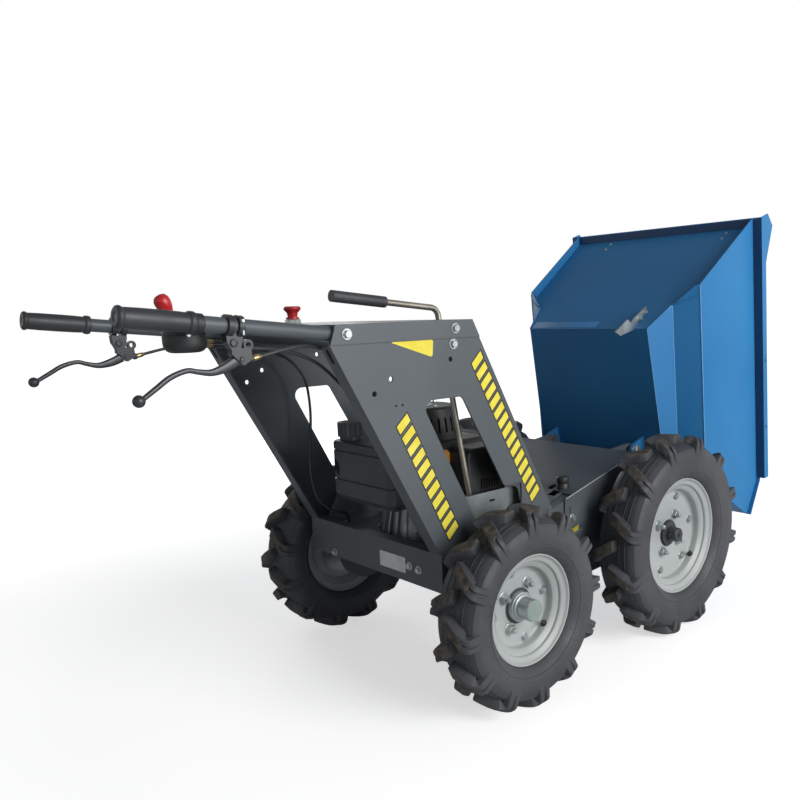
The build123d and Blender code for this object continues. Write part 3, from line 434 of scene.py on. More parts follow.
def tube_along(bm, points, diameter, sides):
    """A round bar through points (metres), with square ends."""
    path = [Vector(p) for p in points]
    loops = []
    side = None
    for k, p in enumerate(path):
        ahead = path[min(k + 1, len(path) - 1)] - path[max(k - 1, 0)]
        z = ahead.normalized()
        side = (side - z * side.dot(z)).normalized() if side else z.orthogonal().normalized()
        other = z.cross(side)
        loops.append([p + (side * math.cos(a) + other * math.sin(a)) * (diameter / 2000)
                      for a in (2 * math.pi * j / sides for j in range(sides))])
    rings(bm, loops)


# ------------------------------------------------------------------ wheels
DUST = 1                 # number of the tyre's second material, on the tops of its lugs
LUGS = 12                # in a row, as in the part
SWEEP = 38.0             # how far a lug runs round the tyre on its way out
WORN = 0.6               # the lugs stay this far inside the part's
BEAD = 20.5              # from the rim's seat to the foot of the sidewall
DISC = -4.0              # outer face of the wheel's disc, from the wheel's middle
WHEELS = {
    # tyre's and rim seat's radius; radius of the shaft's end and its distance from the disc; angles of
    # the outer bolts and the radius of their circle; hub plated; turn of the lugs, in pitches
    "rear": (208.0, 101.0, (22.5, 45.0), (11, 104, 185, 283), 75.0, True, -0.21),
    "front": (246.0, 128.0, (17.5, 32.0), (10, 70, 130, 190, 250, 310), 94.0, False, 0.33),
}


def wheel_point(side, r, y, t, turn):
    """A point of a wheel about its centre: radius, outward distance and tangent offset, in mm."""
    c, s = math.cos(turn), math.sin(turn)
    return Vector(((r * c - t * s) / 1000, side * y / 1000, (r * s + t * c) / 1000))


def lathe_wheel(bm, side, profile, segments):
    """A ring with a closed section: (radius, outward distance) points, turned about the wheel's axis."""
    rows = [[bm.verts.new(wheel_point(side, r, y, 0, 2 * math.pi * k / segments)) for k in range(segments)]
            for r, y in profile]
    for a, b in zip(rows, rows[1:] + rows[:1]):
        for k in range(segments):
            j = (k + 1) % segments
            bm.faces.new((a[k], a[j], b[j], b[k]))


def carcass_profile(tip, seat):
    """The tyre's section: bead, bulged sidewall with its moulding lines, and a crown with four fine ribs."""
    base, wall = tip - 20.0, seat + BEAD
    flank = wall + 0.5 * (base - wall)
    half = [(seat + 6.0, 22.6), (seat + 10.4, 25.2), (seat + 12.8, 29.0), (seat + 14.8, 32.0),
            (seat + 15.0, 36.4), (wall - 2.6, 40.4), (wall + 0.6, 43.6),
            (wall + 4.0, 46.4), (wall + 8.0, 49.0), (wall + 10.6, 50.4), (wall + 11.2, 51.6),
            (wall + 12.6, 51.8), (wall + 13.4, 51.1), (wall + 19.0, 53.0), (flank, 54.6),
            (base - 24.0, 54.4), (base - 17.0, 52.4), (base - 10.5, 48.6), (base - 9.6, 48.9),
            (base - 8.8, 47.4), (base - 5.0, 42.6), (base - 2.2, 35.0), (base - 1.2, 28.6),
            (base - 0.2, 28.2), (base - 0.2, 27.0), (base - 1.0, 26.6), (base - 0.4, 14.0),
            (base + 0.5, 13.6), (base + 0.5, 12.4), (base - 0.3, 12.0), (base, 0.0)]
    other = [(r, -y) for r, y in reversed(half[:-1])]
    inside = [(seat + 0.4, -19.0), (seat + 0.4, 19.0)]
    return half + other + inside


def lug_stations(tip):
    """Sections of one lug: y, radius, tilt of its depth in degrees, depth, width on top, share of the
    sweep, groove."""
    tip -= WORN
    return [
        (-7.6, tip - 3.4, 0, 22, 20.0, -0.04, 0), (-7.0, tip - 1.2, 0, 24, 23.5, -0.02, 0),
        (-4.6, tip - 0.2, 0, 24, 26.5, 0.02, 0), (8.0, tip, 0, 24, 28.0, 0.22, 0),
        (22.0, tip - 0.1, 0, 24, 27.5, 0.45, 0), (33.0, tip - 0.9, 0, 26, 26.5, 0.64, 0),
        (40.0, tip - 2.6, 12, 27, 27.0, 0.77, 0), (42.0, tip - 3.2, 14, 27, 27.4, 0.80, 3.6),
        (48.0, tip - 6.4, 32, 28, 27.6, 0.90, 4.4), (53.2, tip - 11.4, 55, 24, 27.4, 0.98, 4.2),
        (55.8, tip - 17.6, 80, 18, 27.4, 1.0, 3.4), (55.9, tip - 27.0, 90, 10, 28.6, 1.0, 3.0),
        (55.6, tip - 38.0, 90, 6, 31.0, 1.0, 1.6), (55.2, tip - 48.0, 90, 4, 35.0, 1.0, 0),
        (54.0, tip - 55.0, 90, 4, 41.0, 1.0, 0),
    ]


def add_lug(bm, side, row, start, tip):
    loops = []
    for y, r, tilt, depth, width, share, groove in lug_stations(tip):
        turn = start + share * SWEEP / tip
        drop = math.radians(tilt)
        foot = width / 2 + 0.8 + 0.1 * depth
        line = [(-foot, depth), (-width / 2 - 0.4, 2.0), (-width / 2 + 1.5, 0), (-3.6, 0), (-2.4, groove),
                (2.4, groove), (3.6, 0), (width / 2 - 1.5, 0), (width / 2 + 0.4, 2.0), (foot, depth)]
        loops.append([wheel_point(side, r - d * math.cos(drop), row * (y - d * math.sin(drop)), t, turn)
                      for t, d in line])
    faces = rings(bm, loops)
    count = len(loops[0])
    dusty_stations, flat_top = 7, range(2, 7)
    for k in range(dusty_stations * count):
        if k % count in flat_top:
            faces[k].material_index = DUST


def make_tyre(name, side, tip, seat, centre, body, node, phase):
    bm = bmesh.new()
    lathe_wheel(bm, side, carcass_profile(tip, seat), 180)
    pitch = 2 * math.pi / LUGS
    for row_number, row in enumerate((1, -1)):
        for k in range(LUGS):
            add_lug(bm, side, row, (k + row_number / 2 + phase) * pitch, tip)
    wall, vents = seat + BEAD, 36
    for k in range(vents):
        a = 2 * math.pi * (k + 0.3 * math.sin(5.1 * k)) / vents
        r, y = (wall + 22.0, 53.6) if k % 3 else (wall + 5.4, 47.6)
        p = wheel_point(side, r, y, 0, a)
        turned(bm, p, (0, side, 0), [(1.1, -1.0), (0.8, 0.8), (0.5, 1.3)], 8)
    tyre = new_piece(name, bm, body, [rubber, dusty_rubber], 32, centre)
    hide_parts(node)


def rim_profile(seat):
    """The rim's section, in mm from the wheel's middle plane: rolled lips, drop centre and welded disc."""
    flange, well, t = seat + 14.4, seat - 13.0, 3.4
    lip = [(seat - 3.4, 22.6), (seat - 2.8, 25.0), (seat - 0.6, 27.0), (seat + 4.0, 28.4), (seat + 7.6, 30.2),
           (seat + 9.6, 32.8), (seat + 10.6, 35.0), (seat + 11.8, 35.9), (seat + 13.4, 35.9),
           (flange - 0.2, 35.0), (flange, 33.6), (flange - 0.6, 32.2), (seat + 12.4, 30.6),
           (seat + 10.6, 28.0), (seat + 6.0, 25.6), (seat + 1.0, 23.4), (seat, 21.0), (seat, 19.0),
           (well + 2.0, 13.4), (well, 11.0)]
    back = [(r, -y) for r, y in reversed(lip)]
    inner = [(seat - t, -20.6), (well - t + 1.6, -15.0), (well - t, -12.6), (well - t, -9.2),
             (well - t - 3.0, -9.0), (30.2, -9.0), (30.2, -4.4), (30.8, -4.0), (well - t - 7.0, -4.0),
             (well - t - 3.4, -3.2), (well - t - 0.8, -1.0), (well - t, 2.4), (well - t, 12.6),
             (well - t + 1.6, 15.0), (seat - t, 20.6)]
    return lip + back + inner


def make_wheel(prefix, label, side, tip, seat, nose, outer_bolts, bolt_radius, plated, phase):
    stem = prefix + "_" + label + "_"
    body = stem + "wheel"
    axle = joints[stem + "axle"]
    low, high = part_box(prefix + "_" + label + "_tyre")
    centre = Vector((axle.x, (low[1] + high[1]) / 2, axle.z))
    out = Vector((0, side, 0))
    on_disc = centre + out * (DISC / 1000)
    make_tyre(stem + "tyre_skin", side, tip, seat, centre, body, stem + "tyre", phase)
    bm = bmesh.new()
    lathe_wheel(bm, side, rim_profile(seat), 144)
    rim = new_piece(stem + "rim_skin", bm, body, [wheel_paint], 40, centre)
    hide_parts(stem + "rim")

    bm = bmesh.new()
    hub_circle, first = 50, 58
    for k in range(4):
        p = centre + wheel_point(side, hub_circle, DISC, 0, math.radians(first + 90 * k))
        hex_bolt(bm, p, out, 17, 8.5, 1.8, 0.5 * k, 9.0)
    for degrees in outer_bolts:
        p = centre + wheel_point(side, bolt_radius, DISC, 0, math.radians(degrees))
        hex_bolt(bm, p, out, 13, 5.0, 1.4, 0.3 + degrees, 1.6)
    if plated:
        hub_end = [(31.6, 0.0), (31.6, 9.0), (30.6, 11.0), (27.6, 11.6), (27.4, 15.6), (25.6, 16.4)]
        turned(bm, on_disc, out, hub_end, 56)
    new_piece(stem + "wheel_bolts", bm, body, [zinc], 30)

    # the dark gap round the hub, the valve's hole and its stem
    bm = bmesh.new()
    gap = 37.5 if plated else 34.0
    turned(bm, on_disc, out, [(gap, 0.0), (gap - 0.2, 0.5), (28.0, 0.6)], 56)
    valve = math.radians(-40)
    p = centre + wheel_point(side, seat - 16.9, 7.0, 0, valve)
    inward = -wheel_point(side, 1000, 0, 0, valve)
    turned(bm, p - inward * 0.0005, inward, [(7.4, 0.0), (7.2, 0.9), (5.0, 1.6)])
    turned(bm, p, inward + out * 0.5, [(3.6, 0.0), (3.6, 9.0), (2.6, 10.0), (2.6, 19.0), (2.0, 20.0)], 16)
    new_piece(stem + "wheel_shadows", bm, body, [soft_rubber], 30)

    end_r, end_y = nose
    on_end = centre + out * ((DISC + end_y) / 1000)
    bm = bmesh.new()
    if plated:
        cap = [(end_r - 0.6, -1.6), (end_r - 0.8, 0.3), (end_r - 3.0, 0.6), (end_r - 3.4, 0.2)]
        turned(bm, on_end, out, cap, 48)
        new_piece(stem + "hub_cap", bm, body, [cap_green], 30)
    else:
        turned(bm, on_end, out, [(5.2, -0.2), (5.2, 0.5), (4.4, 0.6)], 32)
        new_piece(stem + "hub_end", bm, body, [dark_steel], 30)
        nodes[stem + "hub"].data.materials[0] = black_paint.material


for label, side in SIDES:
    for prefix, sizes in WHEELS.items():
        make_wheel(prefix, label, side, *sizes)


# ------------------------------------------------------------------ frame: bolts, holes, labels
PLATE = 238.0            # outer face of the side plates
SKIRT = 240.5            # outer face of the cover's skirts
CHANNEL = -130.0         # rear face of the cross channel
TANK = -150.0            # rear face of the fuel tank
BED = 210.0              # outer face of the engine bed's sides
PLATE_LEAN = math.radians(28.7)
DECK_X, DECK_TOP = 530.0, 441.0                # the deck's front edge
DECK_RISE = math.tan(math.radians(14.0))
LIP_TOP = DECK_TOP - 80 + 4.1                  # top face of the rail's lower lip, below the deck's front edge
PRINT = 0.05             # from a print's back to the face that carries it
BAR_WIDTH, BAR_SLANT, BAR_EDGE = 33, -0.28, 2.6
LABEL = [(-232, 752), (-230.4, 752.6), (-137, 752.6), (-134.4, 751.4), (-133.4, 749), (-135.6, 724.4),
         (-137, 722), (-139.6, 721.2), (-142, 721.4), (-231, 750.6)]


def frame_bolts():
    bm = bmesh.new()
    for side in (-1, 1):
        out = Vector((0, side, 0))
        for x, face, z in ((-331, SKIRT, 771), (-78, SKIRT, 772), (-82.5, PLATE, 742), (274, PLATE, 323)):
            hex_bolt(bm, at(x, side * face, z), out, 13, 5.6, 1.4, x)
    for y, z in ((-134, 282), (-164, 280), (144, 255)):
        hex_bolt(bm, at(CHANNEL, y, z), BACK, 11, 5.0, 1.4, y)
    for x, y in ((-60, -196), (60, -196), (-60, 196), (60, 196)):
        hex_bolt(bm, at(x, y, 300), UP, 13, 6.0, 1.4, x)
    bed_x, bed_circle, bed_top = 10, 92, 312
    for k in range(4):
        a = math.radians(45 + 90 * k)
        p = at(bed_x + bed_circle * math.cos(a), bed_circle * math.sin(a), bed_top)
        hex_bolt(bm, p, UP, 13, 6.5, 1.4, k, 4)
    new_piece("frame_bolts", bm, "chassis", [zinc], 30)


def oval(half_width, half_height, count, straight=0.0):
    """Points of an ellipse, or of a slot with straight sides, as (across, up) pairs."""
    points = []
    for k in range(count):
        a = 2 * math.pi * (k + 0.5) / count
        c, s = math.cos(a), math.sin(a)
        points.append((half_width * c, half_height * s + (straight if s > 0 else -straight)))
    return points


def frame_shadows():
    """Small holes and slots, drawn as thin dark pieces on the faces that carry them."""
    bm = bmesh.new()
    for x in (-228, -213):
        for side in (-1, 1):
            turned(bm, at(x, side * PLATE, 636), (0, side, 0), [(2.4, -0.4), (2.3, 0.15), (2.0, 0.2)], 20)
    behind_plate = -(PLATE - 3.4)
    turned(bm, at(-90.5, behind_plate, 713), RIGHT, [(7.4, -0.8), (7.4, 0.2)])
    slot = ((2, -12), (4.4, -11.6), (5.4, 10.4), (3, 11))
    slab(bm, [at(262 + dx, -PLATE - PRINT, 340.5 + dz) for dx, dz in slot], 0.25, RIGHT)
    bed_slot = ((-7, -2.4), (7, -2.4), (8, 0), (7, 2.4), (-7, 2.4), (-8, 0))
    slab(bm, [at(42 + dx, -BED - PRINT, 404 + dz) for dx, dz in bed_slot], 0.25, RIGHT)
    # a slot in each plate's rear edge, which leans with the plate
    down = Vector((math.sin(PLATE_LEAN), 0, -math.cos(PLATE_LEAN))) / 1000
    rear = (-math.cos(PLATE_LEAN), 0, -math.sin(PLATE_LEAN))
    edge_x, edge_z, slot_z = -366, 753, 733
    for side in (-1, 1):
        p = at(edge_x + (edge_z - slot_z) * math.tan(PLATE_LEAN), side * 222, slot_z) + BACK * 0.0001
        slab(bm, [p + down * v + Vector((0, u / 1000, 0)) for u, v in oval(4.6, 9, 20, 6)], 0.25, rear)
    # the tank's hand hole
    slab(bm, [at(TANK - 0.1, 82 + u, 466 + v) for u, v in oval(6.5, 15, 24)], 0.3, BACK)
    new_piece("frame_shadows", bm, "chassis", [gap_shade], 30)


def bars(name, start, end, count):
    """A row of slanting yellow bars with black edges, from one point of the plate to another (x, z)."""
    (x0, z0), (x1, z1) = start, end
    length = math.hypot(x1 - x0, z1 - z0)
    along = Vector(((x1 - x0) / length, (z1 - z0) / length))
    skew = Vector((-along.y, along.x)) + along * BAR_SLANT
    bm = bmesh.new()
    pitch = length / count
    for k in range(count):
        middle = Vector(start) + along * (pitch * (k + 0.5))
        for number, (grow, rise) in enumerate(((BAR_EDGE, 0.12), (0.0, 0.24))):
            w, h = pitch * 0.33 + grow, BAR_WIDTH / 2 + grow
            corners = [middle + along * a * w + skew * b * h for a, b in ((-1, -1), (1, -1), (1, 1), (-1, 1))]
            slab(bm, [at(p.x, -PLATE + PRINT, p.y) for p in corners], rise + PRINT, RIGHT, number)
    new_piece(name, bm, "chassis", [print_black, print_yellow], 30)


def sticker(name, points, out, surface):
    bm = bmesh.new()
    slab(bm, points, 0.3, out)
    new_piece(name, bm, "chassis", [surface], 30)


frame_bolts()
frame_shadows()
bars("plate_bars_rear", (-218, 612), (-94, 362), 11)
bars("plate_bars_front", (-24, 716), (151, 396), 15)
sticker("plate_label", [at(x, -PLATE + PRINT, z) for x, z in LABEL], RIGHT, print_yellow)
sticker("rail_label", [at(x, y, LIP_TOP + (x - DECK_X) * DECK_RISE) for x, y in
                       ((240, -259), (270, -259), (290, -244), (236, -244))], UP, print_yellow)
sticker("channel_plate", [at(CHANNEL + PRINT, y, z) for y, z in
                          ((-32, 263), (-120, 263), (-120, 297), (-32, 297))], BACK, print_white)


# ------------------------------------------------------------------ tub
TUB_REAR = (619.4, 746.1)       # x and z of the floor's rear edge with the tub on its stop
RIM_WAY = (0.0958, -0.9954)     # forward along the rim; the way up from it is (-z, x) of this
FLOOR_WAY = (0.1908, -0.9816)   # forward along the floor
REAR_WALL = -math.tan(math.radians(31))      # how far along the rear wall goes for each mm that it rises
FRONT_FOOT, FRONT_HEAD = (368.0, 35.5), (575, 312)      # along and height: the ends of the sides' front edge
LEDGE, SHOULDER = (226, 79), (288, 112)      # y and height of the ledge's inner and outer fold
WELD = 3.6


def tub_at(along, y, above, way=RIM_WAY):
    """A point of the tub: along and above its floor's rear edge, in the rim's frame or the floor's."""
    return at(TUB_REAR[0] + along * way[0] - above * way[1], y, TUB_REAR[1] + along * way[1] + above * way[0])


def tub_way(along, y, above):
    """A direction in the rim's frame."""
    return Vector((along * RIM_WAY[0] - above * RIM_WAY[1], y, along * RIM_WAY[1] + above * RIM_WAY[0]))


OFF_REAR_WALL = tub_way(-0.857, 0, -0.515)


def bead(bm, start, end, steps, seed):
    """A weld bead with uneven ripples, from one point to another."""
    points = []
    for k in range(steps + 1):
        wave = math.sin(seed + k * 2.4) * 0.25 + math.sin(seed + k * 1.1) * 0.2
        points.append(start.lerp(end, k / steps) + Vector((0, 0, wave / 1000)))
    tube_along(bm, points, WELD, 8)


def tub_bolts():
    bm = bmesh.new()
    latch_face, latch_lean = -162.2, -0.5046
    for n in (26, 50):
        hex_bolt(bm, tub_at(latch_lean * n - 6, latch_face, n, FLOOR_WAY), RIGHT, 10, 5.0, 1.4, n, 3.0)
    rivet = [(4.4, -0.3), (4.2, 0.8), (3.0, 1.8), (1.0, 2.2)]
    for y, n in ((163, 356), (166, 333), (-227, 356), (-226, 334)):
        turned(bm, tub_at(REAR_WALL * n, y, n), OFF_REAR_WALL, rivet, 20)
    sunk = [(4.6, -0.6), (4.4, -0.1), (3.2, 0.0)]
    for side in (-1, 1):
        for along in (140, 330):
            turned(bm, tub_at(along, side * 323, 380), (0, side, 0), sunk, 20)
    new_piece("tub_bolts", bm, "tub", [zinc], 30)


def tub_welds():
    bm = bmesh.new()
    (y0, low), (y1, high) = LEDGE, SHOULDER
    for side in (-1, 1):
        bead(bm, tub_at(REAR_WALL * low - 1.5, side * (y0 - 1), low - 1),
             tub_at(REAR_WALL * 0.5, side * 202, 1), 26, side)
        bead(bm, tub_at(REAR_WALL * low - 2, side * (y0 + 2), low),
             tub_at(REAR_WALL * high - 2, side * (y1 - 1), high), 24, side + 2)
    new_piece("tub_welds", bm, "tub", [tub_paint], 60)


def tub_folds():
    """The rounded outsides of the folds, in a lighter blue that is a painted highlight along them."""
    bm = bmesh.new()
    low = LEDGE[1]
    (u0, n0), (u1, n1) = FRONT_FOOT, FRONT_HEAD
    for side in (-1, 1):
        tube_along(bm, [tub_at(0.6, side * 200.6, 0.4), tub_at(u0, side * 212, 35.6)], 1.6, 8)
        for (y, m), back in ((LEDGE, 0), (SHOULDER, 24)):
            end = u0 + (u1 - u0) * (m - n0) / (n1 - n0)
            tube_along(bm, [tub_at(REAR_WALL * m - back, side * y, m), tub_at(end, side * y, m)], 3.0, 8)
        tube_along(bm, [tub_at(REAR_WALL * 0.5, side * 201, 0.6),
                        tub_at(REAR_WALL * low, side * LEDGE[0], low)], 1.6, 8)
    tube_along(bm, [tub_at(0, -200, 0), tub_at(0, 200, 0)], 1.6, 8)
    new_piece("tub_folds", bm, "tub", [fold_highlight_paint], 60)


def tub_painted_light_and_shade():
    """A painted highlight, the lighter strip along the foot of the rear wall, and painted shade, a darker blue
    skin on the rim's underside.
    """
    bm = bmesh.new()
    # painted highlight: a lighter blue strip along the foot of the rear wall
    strip = [tub_at(REAR_WALL * m - 0.2, y, m) for y, m in ((196, 3), (-34, 3), (-34, 25), (196, 25))]
    slab(bm, strip, 0.5, OFF_REAR_WALL, bevel=0.4)
    new_piece("tub_strip_highlight", bm, "tub", [strip_highlight_paint], 30)
    # painted shade: a darker blue skin on the rim's underside and its rear flange
    bm = bmesh.new()
    rear, fore, inner, outer = -221.0, 479.0, 298.4, 322.6
    under = [[(rear - 22, -outer), (rear - 22, outer), (rear - 0.5, outer), (rear - 0.5, -outer)]]
    for side in (-1, 1):
        under.append([(rear, side * inner), (rear, side * outer), (fore, side * outer), (fore, side * inner)])
    for corners in under:
        slab(bm, [tub_at(u, y, 367.95) for u, y in corners], 0.35, tub_way(0, 0, -1))
    new_piece("rim_underside_shade", bm, "tub", [rim_shade_paint], 30)


def hinge_ears():
    """The tub's ears, rounded about the pin, with a fillet of weld along the floor."""
    bm = bmesh.new()
    pin, reach, inner, outer = 324, 19.5, 146, 154
    for side in (-1, 1):
        outline = [(pin + reach * math.cos(a), -42 + reach * math.sin(a))
                   for a in (math.radians(200 + 140 * k / 14) for k in range(15))]
        outline += [(pin + 34, 0), (pin - 27, 0)]
        rings(bm, [[tub_at(u, side * y, n, FLOOR_WAY) for u, n in outline] for y in (inner, outer)])
        a, b = (tub_at(u, side * outer, -0.5, FLOOR_WAY) for u in (pin - 28, pin + 34))
        fillet = [a.lerp(b, k / 16) + Vector((0, 0.0003 * math.sin(k * 2.1), 0)) for k in range(17)]
        tube_along(bm, fillet, 4.0, 8)
    ears = new_piece("tub_ear_plates", bm, "tub", [tub_paint], 30)
    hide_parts("tub_hinge_ears")


def deck_z(x):
    return DECK_TOP + (x - DECK_X) * DECK_RISE


def deck_details():
    bm = bmesh.new()
    buffer_x, sunk = 302, 5
    profile = [(15, 0), (15, 13), (14, 14.4), (14, 16), (15, 17.4), (15, 27), (14, 30), (11.5, 31.6)]
    for side in (-1, 1):
        turned(bm, at(buffer_x, side * 186, deck_z(buffer_x) - sunk), UP, profile, 40)
    buffers = new_piece("buffers", bm, "chassis", [plastic], 40)
    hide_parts("deck_buffers")

    # painted highlight: a thin pale bar along each rail's top edge
    bm = bmesh.new()
    for side in (-1, 1):
        edge = [at(x, side * 237.2, deck_z(x) + 0.1) for x in (252, 345, 437, 527)]
        tube_along(bm, edge, 2.4, 10)
    new_piece("deck_edge_highlights", bm, "chassis", [edge_highlight_paint], 60)

    # painted shade under the deck's two slots: near-black walls round them, clear of the hook's way down
    bm = bmesh.new()
    x0, x1, y0, y1 = 252.0, 348.0, -199.0, -146.0
    foot, top = 34, 4.2
    loop = ((x0, y0), (x1, y0), (x1, y1), (x0, y1))
    for (xa, ya), (xb, yb) in zip(loop, loop[1:] + loop[:1]):
        corners = [at(xa, ya, deck_z(xa) - foot), at(xb, yb, deck_z(xb) - foot),
                   at(xb, yb, deck_z(xb) - top), at(xa, ya, deck_z(xa) - top)]
        slab(bm, corners, 1.2, (corners[1] - corners[0]).cross(UP))
    new_piece("slot_shade_baffles", bm, "chassis", [gap_shade], 30)


# ------------------------------------------------------------------ hinge
def hinge_nuts():
    bm = bmesh.new()
    hinge = joints["tub_tip"]
    ear_face = 154.8 / 1000
    for side in (-1, 1):
        out = Vector((0, side, 0))
        p = Vector((hinge.x, side * ear_face, hinge.z))
        turned(bm, p, out, [(17.0, 0.0), (17.0, 2.0), (16.4, 2.6)], 32)
        turned(bm, p, out, [(14.4, 2.4), (14.4, 6.0), (12.6, 7.0)], 6, 0.4)
        turned(bm, p, out, [(9.6, 6.0), (9.6, 7.9), (8.8, 8.4)])
    new_piece("hinge_nuts", bm, "chassis", [zinc], 30)


# ------------------------------------------------------------------ controls
LEVERS = (
    # side, the pivot's x and z, and degrees that the lever is turned; the left one is held up
    ("right", -1, -540.0, 766.0, 0), ("left", 1, -552.0, 761.0, -5),
)
LEVER_LINE = [
    # from the pivot to the ball: ahead, above, half the blade's height
    (8.0, -27.0, 9.0), (-12.0, -37.0, 8.0), (-36.0, -43.5, 5.6), (-58.0, -41.0, 4.4), (-76.0, -38.0, 4.2),
    (-102.0, -46.0, 4.4), (-124.0, -60.0, 4.2), (-146.0, -74.5, 3.8),
]
LEVER_BALL, BALL_RADIUS = (-152.0, -77.0), 9.5
LEVER_HALF = 4.5          # half the blade's thickness


def tube_at(x, side=1):
    """The middle of a handle tube, which runs back and outward from inside the frame."""
    share = (x + 56.0) / -660.0
    return Vector((x, side * (210 + 24 * share), 741 + 70 * share))


def metal_on_levers():
    steel, yellow, dark = bmesh.new(), bmesh.new(), bmesh.new()
    for _, side, px, pz, _ in LEVERS:
        y = tube_at(px).y
        for out in (-1, 1):
            face = Vector((0, side * out, 0))
            cheek = side * y + side * out * 8.2
            pivot = [(6.6, -0.3), (6.6, 1.2), (5.4, 2.4), (4.2, 2.5), (3.9, 1.5), (1.0, 1.5)]
            turned(dark, at(px, cheek, pz), face, pivot)
            turned(dark, at(px + 12, cheek, pz - 26), face, [(4.0, -0.3), (4.0, 1.0), (3.0, 1.8)], 20)
        clamp = tube_at(px + 14.5)
        clamp_y = side * (clamp.y + 14.4)
        turned(steel, at(clamp.x, clamp_y, clamp.z - 9), UP, [(2.4, -4), (2.4, 19), (2.0, 20)], 16)
        hex_bolt(steel, at(clamp.x, clamp_y, clamp.z + 7), UP, 6.5, 3.6, 0.8, 0.3)
        stop = Vector((px + 27, side * y, pz - 28))
        way = Vector((1, 0, 0.2)).normalized()
        turned(dark, at(*(stop + way * 2)), way, [(6.0, 0), (6.2, 0.8), (6.2, 5.4), (5.6, 6.2)], 16)
        sleeve = [(4.8, 0), (4.9, 4.0), (4.7, 9.6), (4.2, 11.0), (3.5, 14.0)]
        turned(yellow, at(*(stop + way * 9)), way, sleeve)
    way = Vector((1, 0, -0.03)).normalized()
    for start in ((-562, -180, 762), (-563, -184, 769)):
        turned(yellow, at(*start), way, [(2.6, 0), (2.6, 12), (2.0, 14)], 18)
        turned(dark, at(*start), way, [(1.7, 0), (1.7, 40)], 12)
    new_piece("lever_screws", steel, "chassis", [zinc], 30)
    new_piece("cable_adjusters", yellow, "chassis", [brass], 30)
    new_piece("lever_pivots", dark, "chassis", [black_paint], 30)


def lever_curve():
    """The lever's line, smooth through its points: ahead, above, half height."""
    curve = []
    last = len(LEVER_LINE) - 1
    for k in range(last):
        p0, p1, p2, p3 = (Vector(LEVER_LINE[min(max(k + j, 0), last)]) for j in (-1, 0, 1, 2))
        for step in range(8):
            t = step / 8
            curve.append(0.5 * (2 * p1 + (p2 - p0) * t + (2 * p0 - 5 * p1 + 4 * p2 - p3) * t * t
                                + (3 * p1 - p0 - 3 * p2 + p3) * t ** 3))
    return curve + [Vector(LEVER_LINE[-1])]


def squared(value):
    """A sine or cosine pressed outward, so that a round bar gets flatter sides."""
    return math.copysign(abs(value) ** 0.8, value)


def hand_levers():
    """Drop-forged levers: a rounded bar in an S, with the ball at its end."""
    curve = lever_curve()
    ball_profile = [(BALL_RADIUS * math.cos(b), BALL_RADIUS * math.sin(b))
                    for b in (math.radians(-84 + 12 * k) for k in range(15))]
    for label, side, px, pz, lift in LEVERS:
        bm = bmesh.new()
        turn = Matrix.Rotation(math.radians(lift), 2)
        y = side * tube_at(px).y
        loops = []
        for k, (dx, dz, half) in enumerate(curve):
            ahead = (curve[min(k + 1, len(curve) - 1)] - curve[max(k - 1, 0)]).xy.normalized()
            loop = []
            for j in range(20):
                a = 2 * math.pi * (j + 0.5) / 20
                across = half * squared(math.cos(a))
                flat = turn @ Vector((dx - ahead.y * across, dz + ahead.x * across))
                loop.append(at(px + flat.x, y + LEVER_HALF * squared(math.sin(a)), pz + flat.y))
            loops.append(loop)
        rings(bm, loops)
        ball = turn @ Vector(LEVER_BALL)
        turned(bm, at(px + ball.x, y, pz + ball.y), UP, ball_profile, 28)
        lever = new_piece("hand_lever_" + label, bm, "chassis", [lever_paint], 50)
        if side < 0:
            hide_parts("hand_levers")


def hand_grips():
    """Moulded grips: rounded collars at both ends, a slight swell between, and a dimple in the outer end."""
    start = tube_at(-716)
    way = (tube_at(-600) - start).normalized()
    profile = [(4.0, 1.2), (6.0, -0.9), (14.4, -0.9), (16.4, 0.4), (17.2, 2.4), (17.2, 4.6), (16.4, 6.4),
               (15.4, 7.6), (15.3, 10.0), (15.9, 30), (16.1, 60), (15.9, 90), (15.3, 104), (15.6, 105.4),
               (17.2, 106.6), (17.8, 109.0), (17.8, 113.6), (17.0, 116.0), (13.4, 116.4)]
    for label, side in SIDES:
        bm = bmesh.new()
        turned(bm, at(start.x, side * start.y, start.z), (way.x, side * way.y, way.z), profile, 56)
        grip = new_piece("hand_grip_" + label, bm, "chassis", [soft_rubber], 50)
        if side < 0:
            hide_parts("hand_grips")


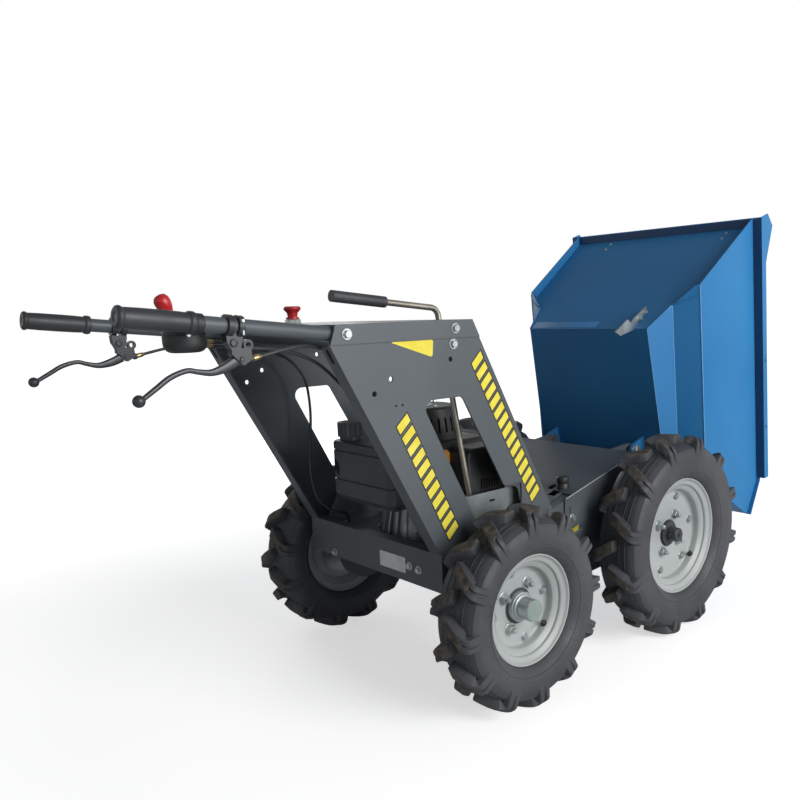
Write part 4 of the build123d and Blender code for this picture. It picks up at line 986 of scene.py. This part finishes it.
def stop_and_throttle():
    """The emergency stop's collar, and the throttle: a bowl under the tube, a clamp, a stalk and its knob."""
    bm = bmesh.new()
    collar = [(17.6, -0.1), (17.6, 2.0), (16.6, 2.8), (15.6, 3.0), (15.6, 9.0), (14.2, 10.2)]
    turned(bm, at(-291, 0, 788), UP, collar, 10)
    bowl_x, bowl_y, bowl_r = -593, -178, 33.9
    turned(bm, at(bowl_x - 8, bowl_y - 33.2, 781), RIGHT, [(4.0, -0.8), (3.8, 1.0), (2.6, 1.8)], 20)
    new_piece("control_metal", bm, "chassis", [zinc], 30)

    bm = bmesh.new()
    foot, head = Vector((-599, bowl_y, 783)), Vector((-622, bowl_y, 829))
    rise = (head - foot).normalized()
    egg = [(3.6, -26), (5.2, -21), (6.6, -17), (8.6, -13), (10.8, -8), (12.2, -2), (12.6, 3), (12.0, 7.6),
           (10.0, 11.6), (6.8, 14.0), (2.6, 15.0)]
    turned(bm, at(*head), rise, egg, 36)
    new_piece("throttle_knob", bm, "chassis", [red], 60)

    bm = bmesh.new()
    bowl = [(10, -bowl_r), (20, -bowl_r), (24, -33.2), (28, -31.2), (31.4, -27.6), (33.2, -23),
            (bowl_r, -17), (bowl_r, -7), (33.4, -6.6), (33.4, -5.6), (bowl_r, -5.2), (bowl_r, -1.6),
            (33.0, -0.2), (30, 0), (29.4, -1.0), (12, -1.0), (11.4, 0.4), (4, 0.4)]
    turned(bm, at(bowl_x, bowl_y, 787), UP, bowl, 72)
    turned(bm, at(*foot), rise, [(4.2, -4), (4.0, 30)], 18)
    clamp = tube_at(-594, -1)
    way = (tube_at(-565, -1) - clamp).normalized()
    ring = [(12.8, 0), (15.0, 0), (15.6, 0.8), (15.6, 11.2), (15.0, 12), (12.8, 12)]
    turned(bm, at(*clamp) - way * 0.006, way, ring, 48)
    control = new_piece("throttle_body", bm, "chassis", [plastic], 35)
    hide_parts("throttle_control")


# ------------------------------------------------------------------ engine
def engine_trim():
    """The choke's orange tab, the grey piece beside it, and the engine's bolts."""
    side_face = -118.0 + 0.4
    starter_x, starter_top, starter_circle = 30, 596.0, 60
    tab = [(-15, 512), (-4, 510), (5, 498), (6, 484), (-4, 480), (-15, 486)]
    link = [(2, 452), (34, 442), (34, 472), (22, 488), (4, 490)]
    bm = bmesh.new()
    slab(bm, [at(x, side_face, z) for x, z in tab], 9, RIGHT, bevel=1.6)
    new_piece("choke_tab", bm, "chassis", [bright_paint], 30)
    bm = bmesh.new()
    slab(bm, [at(x, side_face, z) for x, z in link], 6, RIGHT, bevel=1.2)
    for x, z in ((-52, 500), (-40, 420), (122, 430)):
        hex_bolt(bm, at(x, side_face - 0.4, z), RIGHT, 10, 4.5, 1.2, x)
    turned(bm, at(starter_x, 0, starter_top), UP, [(26, -0.4), (26, 1.2), (23, 2.2)], 40)
    for k in range(3):
        a = math.radians(20 + 120 * k)
        p = at(starter_x + starter_circle * math.cos(a), starter_circle * math.sin(a), starter_top)
        hex_bolt(bm, p, UP, 8, 3.6, 1.0, k)
    new_piece("engine_trim", bm, "chassis", [zinc], 30)


tub_bolts()
tub_welds()
tub_folds()
tub_painted_light_and_shade()
hinge_nuts()
hinge_ears()
deck_details()
metal_on_levers()
stop_and_throttle()
hand_grips()
hand_levers()
engine_trim()
for name, surface in (("handle_tubes", frame_paint), ("shift_rod", rod_zinc), ("fuel_tank", tank_plastic),
                      ("gearbox", darker_casting), ("engine_bed", bed_zinc)):
    nodes[name].data.materials[0] = surface.material
